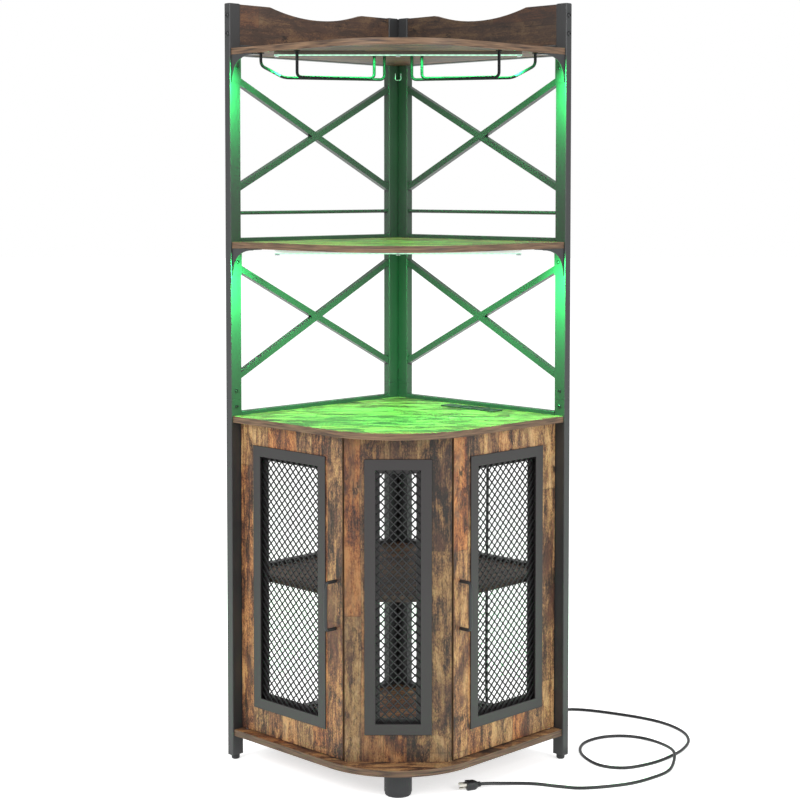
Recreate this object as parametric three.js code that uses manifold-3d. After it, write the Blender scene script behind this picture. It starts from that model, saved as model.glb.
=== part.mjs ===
// Corner hutch cabinet: a tall quarter-plan bar cabinet for a room corner.
// Two steel wall frames meet at the back corner and carry five boards. Below the counter two
// framed mesh doors swing beside a fixed centre panel. Above it are two open bays with wire
// glass racks, crossed braces and lamps. Millimetres, +Z up, the doors face -Y.
import * as THREE from 'three';
import { mergeGeometries, mergeVertices } from 'three/addons/utils/BufferGeometryUtils.js';
import Module from 'manifold-3d';

const wasm = await Module();
wasm.setup();

// Overall sizes
const HEIGHT = 1800;            // floor to the tops of the posts
const FRAME_LENGTH = 558;       // inner corner to the front end of a post, along one wall
const FRONT_REACH = 693;        // inner corner to the front edge of the boards
const FIT_GAP = 0.3;            // what touching pieces keep between them
const OVERRUN = 2;              // how far a cutting tool runs past the face that it cuts

// Steel tubes of the wall frames
const TUBE_WIDTH = 20;          // across the wall
const POST_DEPTH = 32;          // along the wall
const TUBE_ROUND = 2;
const POST_SEAM_RISE = 38;      // upper posts stand on the lower ones this far above the counter
const RAIL_ABOVE_BOARD = 9;
const RAIL_BELOW_BOARD = 2;
const BRACE_TUBE = 15;
const UPPER_BRACE_SHARES = [129 / 455, 379 / 455];  // ends of the bars, up the open bay
const LOWER_BRACE_SHARES = [96 / 413, 349 / 413];
const GUARD_ROD_DIAMETER = 9;
const GUARD_ROD_RISE = 68;      // above the second shelf

// Boards
const BOARD_THICKNESS = 15;
const COUNTER_HEIGHT = 828;     // heights are of the upper faces
const BOTTOM_BOARD_HEIGHT = 74;
const TOP_SHELF_DROP = 104;     // below the tops of the posts
const SECOND_SHELF_SHARE = 413 / 868;  // of the way from the counter to the top shelf
const INNER_SHELF_SHARE = 376 / 754;   // of the way from the bottom board to the counter
const BOARD_SETBACK = 4;        // the boards' side edges lie this far behind the posts' ends
const FENCE_DIP = 22;
const FENCE_FLAT = 95;          // level stretch at each end of a fence board
const INNER_SHELF_SETBACK = 10; // behind the doors and the centre panel

// Doors and centre panel
const DOOR_THICKNESS = 16;
const DOOR_SETBACK = 26.6;      // outer face behind the posts' ends
const DOOR_GAP = 3;             // over, under and at the hinge edge
const DOOR_WIDTH = 351;
const CLOSING_GAP = 7;          // between a door's free edge and the centre panel
const PIVOT_INSET = 13;         // from the hinge edge to the pivot line
const PIVOT_PIN_DIAMETER = 6;
const PIVOT_PIN_IN_DOOR = 18;
const PIVOT_PIN_IN_BOARD = 9;
const PIVOT_BORE_DEPTH = 11;
const PIVOT_COLLAR_DIAMETER = 12;
const PIVOT_COLLAR_THICKNESS = 2.4;  // carries the door just clear of the board

// Mesh windows
const SIDE_WINDOW_EDGE = 50;    // inner wall plane to the window frame
const SIDE_WINDOW_WIDTH = 250;
const CENTRE_WINDOW_WIDTH = 152;
const WINDOW_ABOVE_BOTTOM = 62; // from the bottom board up to the window frames
const WINDOW_BELOW_COUNTER = 66;
const WINDOW_BORDER = 25;
const WINDOW_OVERLAP = 12;      // of the border over the cut-out in the board
const WINDOW_FLANGE_THICKNESS = 3;
const WINDOW_RETURN_THICKNESS = 2;
const WINDOW_LIP_WIDTH = 24;
const MESH_THICKNESS = 2;
const MESH_STRAND = 3.4;
const MESH_CELL_WIDTH = 54;
const MESH_CELL_HEIGHT = 60;
const MESH_RIM = 4;

// Handles
const HANDLE_LENGTH = 116;
const HANDLE_REACH = 35;
const HANDLE_ROD_DIAMETER = 8;
const HANDLE_BEND = 9;
const HANDLE_FROM_EDGE = 22;
const HANDLE_SHARE = 351 / 733; // of the way up the door

// Feet
const FOOT_HEIGHT = 11;         // gap between the posts and the floor
const FOOT_DIAMETER = 20;
const FOOT_ROUND = 2;
const FRONT_LEG_DIAMETER = 63;
const FRONT_LEG_SETBACK = 64.5;  // from the front edge of the boards to its centre
const FRONT_LEG_PLATE_DIAMETER = 78;
const FRONT_LEG_PLATE_THICKNESS = 4;
const FRONT_LEG_PAD_HEIGHT = 8;
const FRONT_LEG_PAD_INSET = 1.5;

// Corner brackets under the open shelves
const BRACKET_HEIGHT = 64;
const BRACKET_REACH = 75;
const BRACKET_SHEET = 2;
const BRACKET_FLANGE = 28;
const BRACKET_TIP = 3;          // blunt ends of the curved web

// Angle behind the rear posts
const JOINT_ANGLE_LEG = 17;
const JOINT_ANGLE_SHEET = 2;

// Glass racks: plan places from the centre line and from the posts' front plane
const RACK_WIRE_DIAMETER = 7;
const RACK_DROP = 60;           // wire centre below the shelf
const RACK_RAMP_DROP = 29;      // where the sloping mouth of the outer wire starts
const RACK_SLOPE_DEGREES = 17.5;
const RACK_SLOT = 38;           // between the two wire centres
const RACK_OUTER_X = 318;
const RACK_OUTER_Y = 105;
const RACK_RAMP_END_X = 262;
const RACK_INNER_X = 230;
const RACK_INNER_Y = 177;
const RACK_INNER_END_X = 55;
const RACK_OUTER_END_X = 32;
const RACK_BEND = 12;
const BEND_STEPS = 4;
const RACK_PAD_DIAMETER = 15;
const RACK_PAD_THICKNESS = 2;
const RACK_PAD_SIDES = 12;

// Lamp strips
const LAMP_HALF_LENGTH = 284;
const LAMP_WIDTH = 10;
const LAMP_HEIGHT = 10;
const LAMP_SETBACK = 204;       // behind the front edge of the boards

// Power strip let into the counter at the right wall
const STRIP_LENGTH = 174;
const STRIP_WIDTH = 40;
const STRIP_PLATE_THICKNESS = 2.5;
const STRIP_PLATE_LIP = 4;
const STRIP_BODY_DEPTH = 38;    // below the counter's upper face
const STRIP_ALONG_WALL = 300;
const STRIP_FROM_WALL = 45;
const SOCKET_PITCH = 40;
const SOCKET_WIDTH = 30;
const SOCKET_RECESS = 1.6;
const SOCKET_ROUND = 6;
const SOCKET_COUNT = 3;
const SOCKET_SLOT_SPREAD = 12.7;
const SOCKET_SLOT_LENGTH = 8;
const SOCKET_SLOT_WIDTH = 2.2;
const SOCKET_EARTH_DIAMETER = 5;
const SOCKET_EARTH_OFFSET = 8;
const SOCKET_HOLE_DEPTH = 14;
const CHARGING_PORT_WIDTH = 13;
const CHARGING_PORT_HEIGHT = 5.5;
const CHARGING_PORT_PITCH = 12;

// Mains cord
const CORD_DIAMETER = 7.5;
const CORD_STEPS = 80;
const CORD_SIDES = 8;
const CORD_FLOOR_GAP = 0.3;     // under the cord where it lies on the floor
const CORD_CROSSING_GAP = 2.3;  // between the cord's two runs where they cross
const CORD_EXIT_ALONG_WALL = 270;
const CORD_EXIT_DROP = 28;      // below the counter's upper face
const RELIEF_LENGTH = 27;
const RELIEF_WIDE = 13;
const RELIEF_NARROW = 10.4;
const PLUG_LENGTH = 34;
const PLUG_WIDTH = 26;
const PLUG_HEIGHT = 20;
const PLUG_NECK = 13;           // width at the cord's end
const PLUG_NOSE_SHARE = 0.62;
const PRONG_LENGTH = 17;
const PRONG_WIDTH = 6.3;
const PRONG_THICKNESS = 1.6;
const PRONG_SPREAD = 12.7;
const EARTH_PRONG_DIAMETER = 4.8;
const EARTH_PRONG_DROP = 5;

// Places worked out from the sizes
const SQ = Math.SQRT1_2;
const TOP_SHELF_HEIGHT = HEIGHT - TOP_SHELF_DROP;
const SECOND_SHELF_HEIGHT = COUNTER_HEIGHT + (TOP_SHELF_HEIGHT - COUNTER_HEIGHT) * SECOND_SHELF_SHARE;
const INNER_SHELF_HEIGHT = BOTTOM_BOARD_HEIGHT + (COUNTER_HEIGHT - BOTTOM_BOARD_HEIGHT) * INNER_SHELF_SHARE;
const POST_SEAM_HEIGHT = COUNTER_HEIGHT + POST_SEAM_RISE;
const WINDOW_LOW = BOTTOM_BOARD_HEIGHT + WINDOW_ABOVE_BOTTOM;
const WINDOW_HIGH = COUNTER_HEIGHT - WINDOW_BELOW_COUNTER;
const CORNER_Y = (FRONT_REACH - TUBE_WIDTH * SQ) / 2;
const FRONT_Y = CORNER_Y - FRONT_REACH;
const BOARD_SIDE = FRAME_LENGTH - BOARD_SETBACK;
const DOOR_FACE = FRAME_LENGTH - DOOR_SETBACK;
const DOOR_BACK = DOOR_FACE - DOOR_THICKNESS;
const DOOR_LOW = BOTTOM_BOARD_HEIGHT + DOOR_GAP;
const DOOR_HIGH = COUNTER_HEIGHT - BOARD_THICKNESS - DOOR_GAP;
const DOOR_FREE_EDGE = DOOR_GAP + DOOR_WIDTH;
const HANDLE_HEIGHT = DOOR_LOW + (DOOR_HIGH - DOOR_LOW) * HANDLE_SHARE;
const PIVOT_PLACE = new THREE.Vector2(DOOR_FACE - DOOR_THICKNESS / 2, DOOR_GAP + PIVOT_INSET);
const PANEL_EDGE = DOOR_FREE_EDGE + CLOSING_GAP;
const PANEL_HALF_WIDTH = (DOOR_FACE - PANEL_EDGE) * SQ;
const PANEL_FACE_Y = CORNER_Y - (DOOR_FACE + PANEL_EDGE) * SQ;
const BEAM = { low: RAIL_BELOW_BOARD + BOARD_THICKNESS, high: RAIL_ABOVE_BOARD };

// Finishes: colour, roughness and metalness of each material
const FINISHES = {
  steel: [0x46484a, 0.55, 0.4],
  board: [0x6f4a30, 0.6, 0],
  darkSteel: [0x2b2d2f, 0.5, 0.4],
  mesh: [0x2a2b2c, 0.5, 0.5],
  plastic: [0x1d1e20, 0.55, 0],
  bright: [0xb8bcc0, 0.3, 0.9],
  lamp: [0x8dffb0, 0.4, 0],
  rubber: [0x151617, 0.7, 0],
};

const cabinet = new THREE.Group();
const sides = [
  { name: 'left', turn: -Math.PI * 0.75, mirrored: false },
  { name: 'right', turn: -Math.PI * 0.25, mirrored: true },
];
for (const side of sides) {
  // A side's frame has x along the wall from the corner, y into the room (mirrored on the right)
  side.group = new THREE.Group();
  side.group.position.y = CORNER_Y;
  side.group.rotation.z = side.turn;
  cabinet.add(side.group);
}

// Each mesh gets a material of its own
function addMesh(parent, name, geometry, finish) {
  const [color, roughness, metalness] = FINISHES[finish];
  const mesh = new THREE.Mesh(geometry, new THREE.MeshStandardMaterial({ color, roughness, metalness }));
  mesh.name = name;
  parent.add(mesh);
  return mesh;
}

// Turns a left-hand shape into its right-hand twin
function mirrorY(geometry) {
  const twin = geometry.index ? geometry.toNonIndexed() : geometry.clone();
  const position = twin.getAttribute('position');
  for (let i = 0; i < position.count; i += 3) {
    const second = new THREE.Vector3().fromBufferAttribute(position, i + 1);
    const third = new THREE.Vector3().fromBufferAttribute(position, i + 2);
    position.setY(i, -position.getY(i));
    position.setXYZ(i + 1, third.x, -third.y, third.z);
    position.setXYZ(i + 2, second.x, -second.y, second.z);
  }
  twin.deleteAttribute('normal');
  twin.deleteAttribute('uv');
  return twin;
}

function addToSide(side, name, geometry, finish) {
  const shape = side.mirrored ? mirrorY(geometry) : geometry;
  return addMesh(side.group, name, shape, finish);
}

// Booleans
function toSolid(geometry) {
  const bare = geometry.clone();
  bare.deleteAttribute('normal');
  bare.deleteAttribute('uv');
  const merged = mergeVertices(bare);
  const vertProperties = new Float32Array(merged.getAttribute('position').array);
  const triVerts = new Uint32Array(merged.index.array);
  return new wasm.Manifold(new wasm.Mesh({ numProp: 3, vertProperties, triVerts }));
}

function toGeometry(solid) {
  const mesh = solid.getMesh();
  const geometry = new THREE.BufferGeometry();
  geometry.setAttribute('position', new THREE.BufferAttribute(new Float32Array(mesh.vertProperties), 3));
  geometry.setIndex(new THREE.BufferAttribute(new Uint32Array(mesh.triVerts), 1));
  return geometry;
}

function cut(geometry, ...tools) {
  const solid = tools.reduce((rest, tool) => rest.subtract(toSolid(tool)), toSolid(geometry));
  return toGeometry(solid);
}

function join(...geometries) {
  const solids = geometries.map(toSolid);
  return toGeometry(solids.slice(1).reduce((whole, solid) => whole.add(solid), solids[0]));
}

// Separate solids that cut together as one tool
function gather(geometries) {
  const plain = geometries.map((geometry) => {
    const copy = geometry.index ? geometry.toNonIndexed() : geometry.clone();
    copy.deleteAttribute('normal');
    copy.deleteAttribute('uv');
    return copy;
  });
  return mergeGeometries(plain);
}

// Outlines
function polygon(points) {
  return new THREE.Shape(points.map(([x, y]) => new THREE.Vector2(x, y)));
}

function rectangle(x0, x1, y0, y1, round = 0) {
  const shape = new THREE.Shape();
  if (round === 0) return polygon([[x0, y0], [x1, y0], [x1, y1], [x0, y1]]);
  shape.moveTo(x0 + round, y0);
  shape.lineTo(x1 - round, y0);
  shape.absarc(x1 - round, y0 + round, round, -Math.PI / 2, 0);
  shape.lineTo(x1, y1 - round);
  shape.absarc(x1 - round, y1 - round, round, 0, Math.PI / 2);
  shape.lineTo(x0 + round, y1);
  shape.absarc(x0 + round, y1 - round, round, Math.PI / 2, Math.PI);
  shape.lineTo(x0, y0 + round);
  shape.absarc(x0 + round, y0 + round, round, Math.PI, Math.PI * 1.5);
  return shape;
}

function extrude(shape, depth, curveSegments = 3) {
  return new THREE.ExtrudeGeometry(shape, { depth, bevelEnabled: false, curveSegments });
}

// An outline in plan, raised from low to high
function standing(shape, low, high, curveSegments) {
  return extrude(shape, high - low, curveSegments).translate(0, 0, low);
}

// An outline of (x, height), its thickness running in y from y0 to y1
function upright(shape, y0, y1, curveSegments) {
  return extrude(shape, y1 - y0, curveSegments).rotateX(Math.PI / 2).translate(0, y1, 0);
}

// An outline of (y, height), its thickness running in x from x0 to x1
function crosswise(shape, x0, x1, curveSegments) {
  const turn = new THREE.Matrix4().makeBasis(
    new THREE.Vector3(0, 1, 0),
    new THREE.Vector3(0, 0, 1),
    new THREE.Vector3(1, 0, 0),
  );
  return extrude(shape, x1 - x0, curveSegments).applyMatrix4(turn).translate(x0, 0, 0);
}

// A bar with its length in x
function bar(x0, x1, y0, y1, z0, z1, round) {
  return crosswise(rectangle(y0, y1, z0, z1, round), x0, x1);
}

function block(x0, x1, y0, y1, z0, z1) {
  return standing(rectangle(x0, x1, y0, y1), z0, z1);
}

// A round bar standing on z0
function rod(diameter, z0, z1, sides = 16) {
  const geometry = new THREE.CylinderGeometry(diameter / 2, diameter / 2, z1 - z0, sides);
  return geometry.rotateX(Math.PI / 2).translate(0, 0, (z0 + z1) / 2);
}

function roundSection(diameter, sides) {
  const points = [];
  for (let i = 0; i < sides; i++) {
    const angle = (i + 0.5) / sides * Math.PI * 2;
    points.push(new THREE.Vector2(Math.cos(angle) * diameter / 2, Math.sin(angle) * diameter / 2));
  }
  return new THREE.Shape(points);
}

// A path given by stations, so that straight stretches take one step each
class StationPath extends THREE.Curve {
  constructor(stations) {
    super();
    this.stations = stations;
  }

  stationAt(share) {
    return this.stations[Math.round(share * (this.stations.length - 1))];
  }

  getPointAt(share) {
    return this.stationAt(share).point.clone();
  }

  getTangentAt(share) {
    return this.stationAt(share).tangent.clone();
  }
}

// A wire that runs straight between its corners and turns at each with a short bend
function bentWire(corners, bend, diameter, sides) {
  const last = corners.length - 1;
  const headingAt = (i) => corners[i + 1].clone().sub(corners[i]).normalize();
  const stations = [{ point: corners[0], tangent: headingAt(0) }];
  for (let i = 1; i < last; i++) {
    const before = corners[i].clone().addScaledVector(headingAt(i - 1), -bend);
    const after = corners[i].clone().addScaledVector(headingAt(i), bend);
    const curve = new THREE.QuadraticBezierCurve3(before, corners[i], after);
    for (let k = 0; k <= BEND_STEPS; k++) {
      const share = k / BEND_STEPS;
      stations.push({ point: curve.getPoint(share), tangent: curve.getTangent(share) });
    }
  }
  stations.push({ point: corners[last], tangent: headingAt(last - 1) });
  const extrudePath = new StationPath(stations);
  const steps = stations.length - 1;
  return new THREE.ExtrudeGeometry(roundSection(diameter, sides), { steps, extrudePath });
}

// Posts: rounded rectangular tubes, in a lower and an upper length on each side
function addPosts(side) {
  const places = { front: [FRAME_LENGTH - POST_DEPTH, FRAME_LENGTH], rear: [0, POST_DEPTH] };
  for (const [place, [x0, x1]] of Object.entries(places)) {
    const outline = rectangle(x0, x1, -TUBE_WIDTH, 0, TUBE_ROUND);
    const lower = standing(outline, FOOT_HEIGHT, POST_SEAM_HEIGHT);
    const upper = standing(outline, POST_SEAM_HEIGHT + FIT_GAP, HEIGHT);
    addToSide(side, `${side.name}_${place}_post_lower`, lower, 'steel');
    addToSide(side, `${side.name}_${place}_post_upper`, upper, 'steel');
  }
}

// Rails: one tube for each board level, between the posts of a wall frame
const LEVELS = {
  bottom: BOTTOM_BOARD_HEIGHT,
  inner: INNER_SHELF_HEIGHT,
  counter: COUNTER_HEIGHT,
  second: SECOND_SHELF_HEIGHT,
  top: TOP_SHELF_HEIGHT,
};
const RAIL_START = POST_DEPTH + FIT_GAP;
const RAIL_END = FRAME_LENGTH - POST_DEPTH - FIT_GAP;

function addRails(side) {
  for (const [level, height] of Object.entries(LEVELS)) {
    const low = height - BEAM.low;
    const high = height + BEAM.high;
    const rail = bar(RAIL_START, RAIL_END, -TUBE_WIDTH, 0, low, high, TUBE_ROUND);
    addToSide(side, `${side.name}_${level}_rail`, rail, 'steel');
  }
}

// Crossed braces: two bars welded where they cross, ends cut upright against the posts
function crossOutline(shares, bayLow, bayHigh) {
  const [low, high] = shares.map((share) => bayLow + (bayHigh - bayLow) * share);
  const slope = (high - low) / (RAIL_END - RAIL_START);
  const half = BRACE_TUBE / 2 * Math.hypot(1, slope);
  const middleX = (RAIL_START + RAIL_END) / 2;
  const middleZ = (low + high) / 2;
  const notch = (high - low - 2 * half) / (2 * slope);
  return polygon([
    [RAIL_START, low - half], [middleX, middleZ - half], [RAIL_END, low - half],
    [RAIL_END, low + half], [RAIL_END - notch, middleZ], [RAIL_END, high - half],
    [RAIL_END, high + half], [middleX, middleZ + half], [RAIL_START, high + half],
    [RAIL_START, high - half], [RAIL_START + notch, middleZ], [RAIL_START, low + half],
  ]);
}

function addBraces(side) {
  const y0 = -(TUBE_WIDTH + BRACE_TUBE) / 2;
  const y1 = y0 + BRACE_TUBE;
  const upper = crossOutline(UPPER_BRACE_SHARES, SECOND_SHELF_HEIGHT, TOP_SHELF_HEIGHT);
  const lower = crossOutline(LOWER_BRACE_SHARES, COUNTER_HEIGHT, SECOND_SHELF_HEIGHT);
  addToSide(side, `${side.name}_upper_brace`, upright(upper, y0, y1), 'steel');
  addToSide(side, `${side.name}_lower_brace`, upright(lower, y0, y1), 'steel');
}

// Fence boards: stand on the top rails with a scalloped upper edge
function addFence(side) {
  const low = TOP_SHELF_HEIGHT + RAIL_ABOVE_BOARD + FIT_GAP;
  const middle = (RAIL_START + RAIL_END) / 2;
  const reach = (RAIL_END - RAIL_START) / 2 - FENCE_FLAT;
  const shape = new THREE.Shape();
  shape.moveTo(RAIL_START, low);
  shape.lineTo(RAIL_END, low);
  shape.lineTo(RAIL_END, HEIGHT);
  shape.lineTo(middle + reach, HEIGHT);
  shape.quadraticCurveTo(middle, HEIGHT - 2 * FENCE_DIP, middle - reach, HEIGHT);
  shape.lineTo(RAIL_START, HEIGHT);
  const y0 = -(TUBE_WIDTH + BOARD_THICKNESS) / 2;
  const fence = upright(shape, y0, y0 + BOARD_THICKNESS, 16);
  addToSide(side, `${side.name}_fence_board`, fence, 'board');
}

// Boards: square to both walls at the back and sides, with one round front
function boardOutline() {
  const back = CORNER_Y - FIT_GAP / SQ;
  const outerX = (BOARD_SIDE - FIT_GAP) * SQ;
  const outerY = CORNER_Y - (BOARD_SIDE + FIT_GAP) * SQ;
  const round = (outerX - outerY + FRONT_Y) / (Math.SQRT2 - 1);
  const tangent = round * SQ;
  const centreY = FRONT_Y + round;
  const shape = new THREE.Shape();
  shape.moveTo(0, back);
  shape.lineTo(-outerX, outerY);
  const startY = centreY - tangent;
  shape.lineTo(-tangent, startY);
  shape.absarc(0, centreY, round, Math.PI * 1.25, Math.PI * 1.75);
  shape.lineTo(outerX, outerY);
  return shape;
}

function boardAt(height) {
  return standing(boardOutline(), height - BOARD_THICKNESS, height, 14);
}

// Plan point of a wall place: along the wall, into the room
function planOf(along, into, mirrored) {
  const x = (into - along) * SQ;
  return new THREE.Vector2(mirrored ? -x : x, CORNER_Y - (along + into) * SQ);
}

function pivotHoles(z0, z1) {
  return sides.map((side) => {
    const place = planOf(PIVOT_PLACE.x, PIVOT_PLACE.y, side.mirrored);
    return rod(PIVOT_PIN_DIAMETER + 2 * FIT_GAP, z0, z1).translate(place.x, place.y, 0);
  });
}

function stripHole() {
  const length = STRIP_LENGTH / 2 - STRIP_PLATE_LIP + FIT_GAP;
  const width = STRIP_WIDTH / 2 - STRIP_PLATE_LIP + FIT_GAP;
  const low = COUNTER_HEIGHT - BOARD_THICKNESS - OVERRUN;
  const hole = block(-length, length, -width, width, low, COUNTER_HEIGHT + OVERRUN);
  return placeStrip(hole);
}

function placeStrip(geometry) {
  const place = planOf(STRIP_ALONG_WALL, STRIP_FROM_WALL, true);
  return geometry.rotateZ(-Math.PI / 4).translate(place.x, place.y, 0);
}

function addBoards() {
  addMesh(cabinet, 'top_shelf', boardAt(TOP_SHELF_HEIGHT), 'board');
  addMesh(cabinet, 'second_shelf', boardAt(SECOND_SHELF_HEIGHT), 'board');
  const underside = COUNTER_HEIGHT - BOARD_THICKNESS;
  const counterHoles = pivotHoles(underside - OVERRUN, underside + PIVOT_BORE_DEPTH);
  addMesh(cabinet, 'counter_board', cut(boardAt(COUNTER_HEIGHT), stripHole(), ...counterHoles), 'board');
  const floorHoles = pivotHoles(BOTTOM_BOARD_HEIGHT - PIVOT_BORE_DEPTH, BOTTOM_BOARD_HEIGHT + OVERRUN);
  addMesh(cabinet, 'bottom_board', cut(boardAt(BOTTOM_BOARD_HEIGHT), ...floorHoles), 'board');
}

// Inner shelf: five straight edges, clear of the doors and the centre panel
function addInnerShelf() {
  const sideEdge = DOOR_BACK - INNER_SHELF_SETBACK;
  const frontY = PANEL_FACE_Y + BOARD_THICKNESS + FIT_GAP;
  const outerX = (sideEdge - FIT_GAP) * SQ;
  const outerY = CORNER_Y - (sideEdge + FIT_GAP) * SQ;
  const cornerX = outerX - outerY + frontY;
  const back = CORNER_Y - FIT_GAP / SQ;
  const shape = polygon([
    [0, back], [-outerX, outerY], [-cornerX, frontY],
    [cornerX, frontY], [outerX, outerY],
  ]);
  const shelf = standing(shape, INNER_SHELF_HEIGHT - BOARD_THICKNESS, INNER_SHELF_HEIGHT);
  addMesh(cabinet, 'inner_shelf', shelf, 'board');
}

// Diamond mesh: one sheet with a lattice of openings, those at the rim cut short by it
function clipToBox(points, x0, x1, y0, y1) {
  const edges = [[0, x0, 1], [0, x1, -1], [1, y0, 1], [1, y1, -1]];
  let kept = points;
  for (const [axis, limit, sign] of edges) {
    const next = [];
    kept.forEach((point, i) => {
      const other = kept[(i + 1) % kept.length];
      const inside = sign * (point[axis] - limit) >= 0;
      const otherInside = sign * (other[axis] - limit) >= 0;
      if (inside) next.push(point);
      if (inside !== otherInside) {
        const share = (limit - point[axis]) / (other[axis] - point[axis]);
        next.push([point[0] + share * (other[0] - point[0]), point[1] + share * (other[1] - point[1])]);
      }
    });
    kept = next;
  }
  return kept;
}

function meshOpenings(x0, x1, y0, y1) {
  const openings = [];
  const columns = Math.max(2, Math.round((x1 - x0) / MESH_CELL_WIDTH));
  const rows = Math.max(2, Math.round((y1 - y0) / MESH_CELL_HEIGHT));
  const cellWidth = (x1 - x0) / columns;
  const cellHeight = (y1 - y0) / rows;
  const strand = MESH_STRAND / 2 * Math.hypot(1 / cellWidth, 1 / cellHeight) * 2;
  const halfWidth = cellWidth / 2 * (1 - strand);
  const halfHeight = cellHeight / 2 * (1 - strand);
  for (let row = 0; row <= 2 * rows; row++) {
    for (let column = row % 2; column <= 2 * columns; column += 2) {
      const x = x0 + column * cellWidth / 2;
      const y = y0 + row * cellHeight / 2;
      const diamond = [[x - halfWidth, y], [x, y - halfHeight], [x + halfWidth, y], [x, y + halfHeight]];
      const hole = clipToBox(diamond, x0 + MESH_RIM, x1 - MESH_RIM, y0 + MESH_RIM, y1 - MESH_RIM);
      const corner = (row === 0 || row === 2 * rows) && (column === 0 || column === 2 * columns);
      if (hole.length > 2 && !corner) openings.push(polygon(hole));
    }
  }
  return openings;
}

// Window: a face flange over the cut-out, a return through it and mesh welded to a lip behind
const CUT_IN = WINDOW_BORDER - WINDOW_OVERLAP;
function ringOutline(x0, x1, y0, y1, width) {
  const ring = rectangle(x0, x1, y0, y1);
  ring.holes.push(new THREE.Path(rectangle(x0 + width, x1 - width, y0 + width, y1 - width).getPoints()));
  return ring;
}

// One window from (across, height) outlines; lay(shape, from, to) gives them their thickness,
// where 0 is the board's face and the board's back lies at -thickness
function windowOf(x0, x1, thickness, lay) {
  const inset = CUT_IN + FIT_GAP;
  const flange = lay(
    ringOutline(x0, x1, WINDOW_LOW, WINDOW_HIGH, WINDOW_BORDER),
    FIT_GAP,
    FIT_GAP + WINDOW_FLANGE_THICKNESS,
  );
  const returnRing = [x0 + inset, x1 - inset, WINDOW_LOW + inset, WINDOW_HIGH - inset];
  const wall = lay(ringOutline(...returnRing, WINDOW_RETURN_THICKNESS), -thickness, FIT_GAP * 2);
  const lip = lay(
    ringOutline(...returnRing, WINDOW_LIP_WIDTH),
    -thickness,
    -thickness + WINDOW_RETURN_THICKNESS,
  );
  const meshInset = inset + WINDOW_RETURN_THICKNESS / 2;
  const meshBack = -thickness + WINDOW_RETURN_THICKNESS / 2;
  const meshFront = meshBack + MESH_THICKNESS;
  const extent = [x0 + meshInset, x1 - meshInset, WINDOW_LOW + meshInset, WINDOW_HIGH - meshInset];
  const openings = meshOpenings(...extent).map((hole) => {
    return lay(hole, meshBack - OVERRUN, meshFront + OVERRUN);
  });
  const mesh = cut(lay(rectangle(...extent), meshBack, meshFront), gather(openings));
  return join(flange, wall, lip, mesh);
}

function windowCut(x0, x1) {
  return rectangle(x0 + CUT_IN, x1 - CUT_IN, WINDOW_LOW + CUT_IN, WINDOW_HIGH - CUT_IN);
}

// Doors: board, window, handle, pivot pins and strike plate all swing together
function addDoor(side) {
  const name = (piece) => `${side.name}_door_${piece}`;
  const outline = rectangle(DOOR_GAP, DOOR_FREE_EDGE, DOOR_LOW, DOOR_HIGH);
  const windowEnd = SIDE_WINDOW_EDGE + SIDE_WINDOW_WIDTH;
  outline.holes.push(new THREE.Path(windowCut(SIDE_WINDOW_EDGE, windowEnd).getPoints()));
  const pinHoleDepth = PIVOT_PIN_IN_DOOR + FIT_GAP;
  const pinHole = (z0, z1) => {
    return rod(PIVOT_PIN_DIAMETER + 2 * FIT_GAP, z0, z1).translate(PIVOT_PLACE.x, PIVOT_PLACE.y, 0);
  };
  const panel = cut(
    crosswise(outline, DOOR_BACK, DOOR_FACE),
    pinHole(DOOR_LOW - OVERRUN, DOOR_LOW + pinHoleDepth),
    pinHole(DOOR_HIGH - pinHoleDepth, DOOR_HIGH + OVERRUN),
  );
  addToSide(side, name('panel'), panel, 'board');
  const lay = (shape, from, to) => crosswise(shape, DOOR_FACE + from, DOOR_FACE + to);
  const window = windowOf(SIDE_WINDOW_EDGE, windowEnd, DOOR_THICKNESS, lay);
  addToSide(side, name('window'), window, 'darkSteel');
  addToSide(side, name('handle'), handleRod(), 'darkSteel');
  const upper = pivotPin().rotateX(Math.PI).translate(PIVOT_PLACE.x, PIVOT_PLACE.y, DOOR_HIGH);
  const lower = pivotPin().translate(PIVOT_PLACE.x, PIVOT_PLACE.y, DOOR_LOW);
  addToSide(side, name('upper_pivot'), upper, 'bright');
  addToSide(side, name('lower_pivot'), lower, 'bright');
}

// Pivot pin: half in the door's edge, half in the board's bore, with a collar between them
function pivotPin() {
  const radius = PIVOT_PIN_DIAMETER / 2;
  const collar = PIVOT_COLLAR_DIAMETER / 2;
  const tip = -DOOR_GAP - PIVOT_PIN_IN_BOARD;
  const low = -FIT_GAP - PIVOT_COLLAR_THICKNESS;
  return turned([
    [0, tip], [radius, tip], [radius, low], [collar, low],
    [collar, -FIT_GAP], [radius, -FIT_GAP], [radius, PIVOT_PIN_IN_DOOR], [0, PIVOT_PIN_IN_DOOR],
  ], 16);
}

// C-shaped pull: two legs and a bar bent from one rod
function handleRod() {
  const y = DOOR_FREE_EDGE - HANDLE_FROM_EDGE;
  const start = DOOR_FACE + FIT_GAP;
  const end = DOOR_FACE + HANDLE_REACH - HANDLE_ROD_DIAMETER / 2;
  const half = (HANDLE_LENGTH - HANDLE_ROD_DIAMETER) / 2;
  const corners = [
    new THREE.Vector3(start, y, HANDLE_HEIGHT - half),
    new THREE.Vector3(end, y, HANDLE_HEIGHT - half),
    new THREE.Vector3(end, y, HANDLE_HEIGHT + half),
    new THREE.Vector3(start, y, HANDLE_HEIGHT + half),
  ];
  return bentWire(corners, HANDLE_BEND, HANDLE_ROD_DIAMETER, 10);
}

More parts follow.
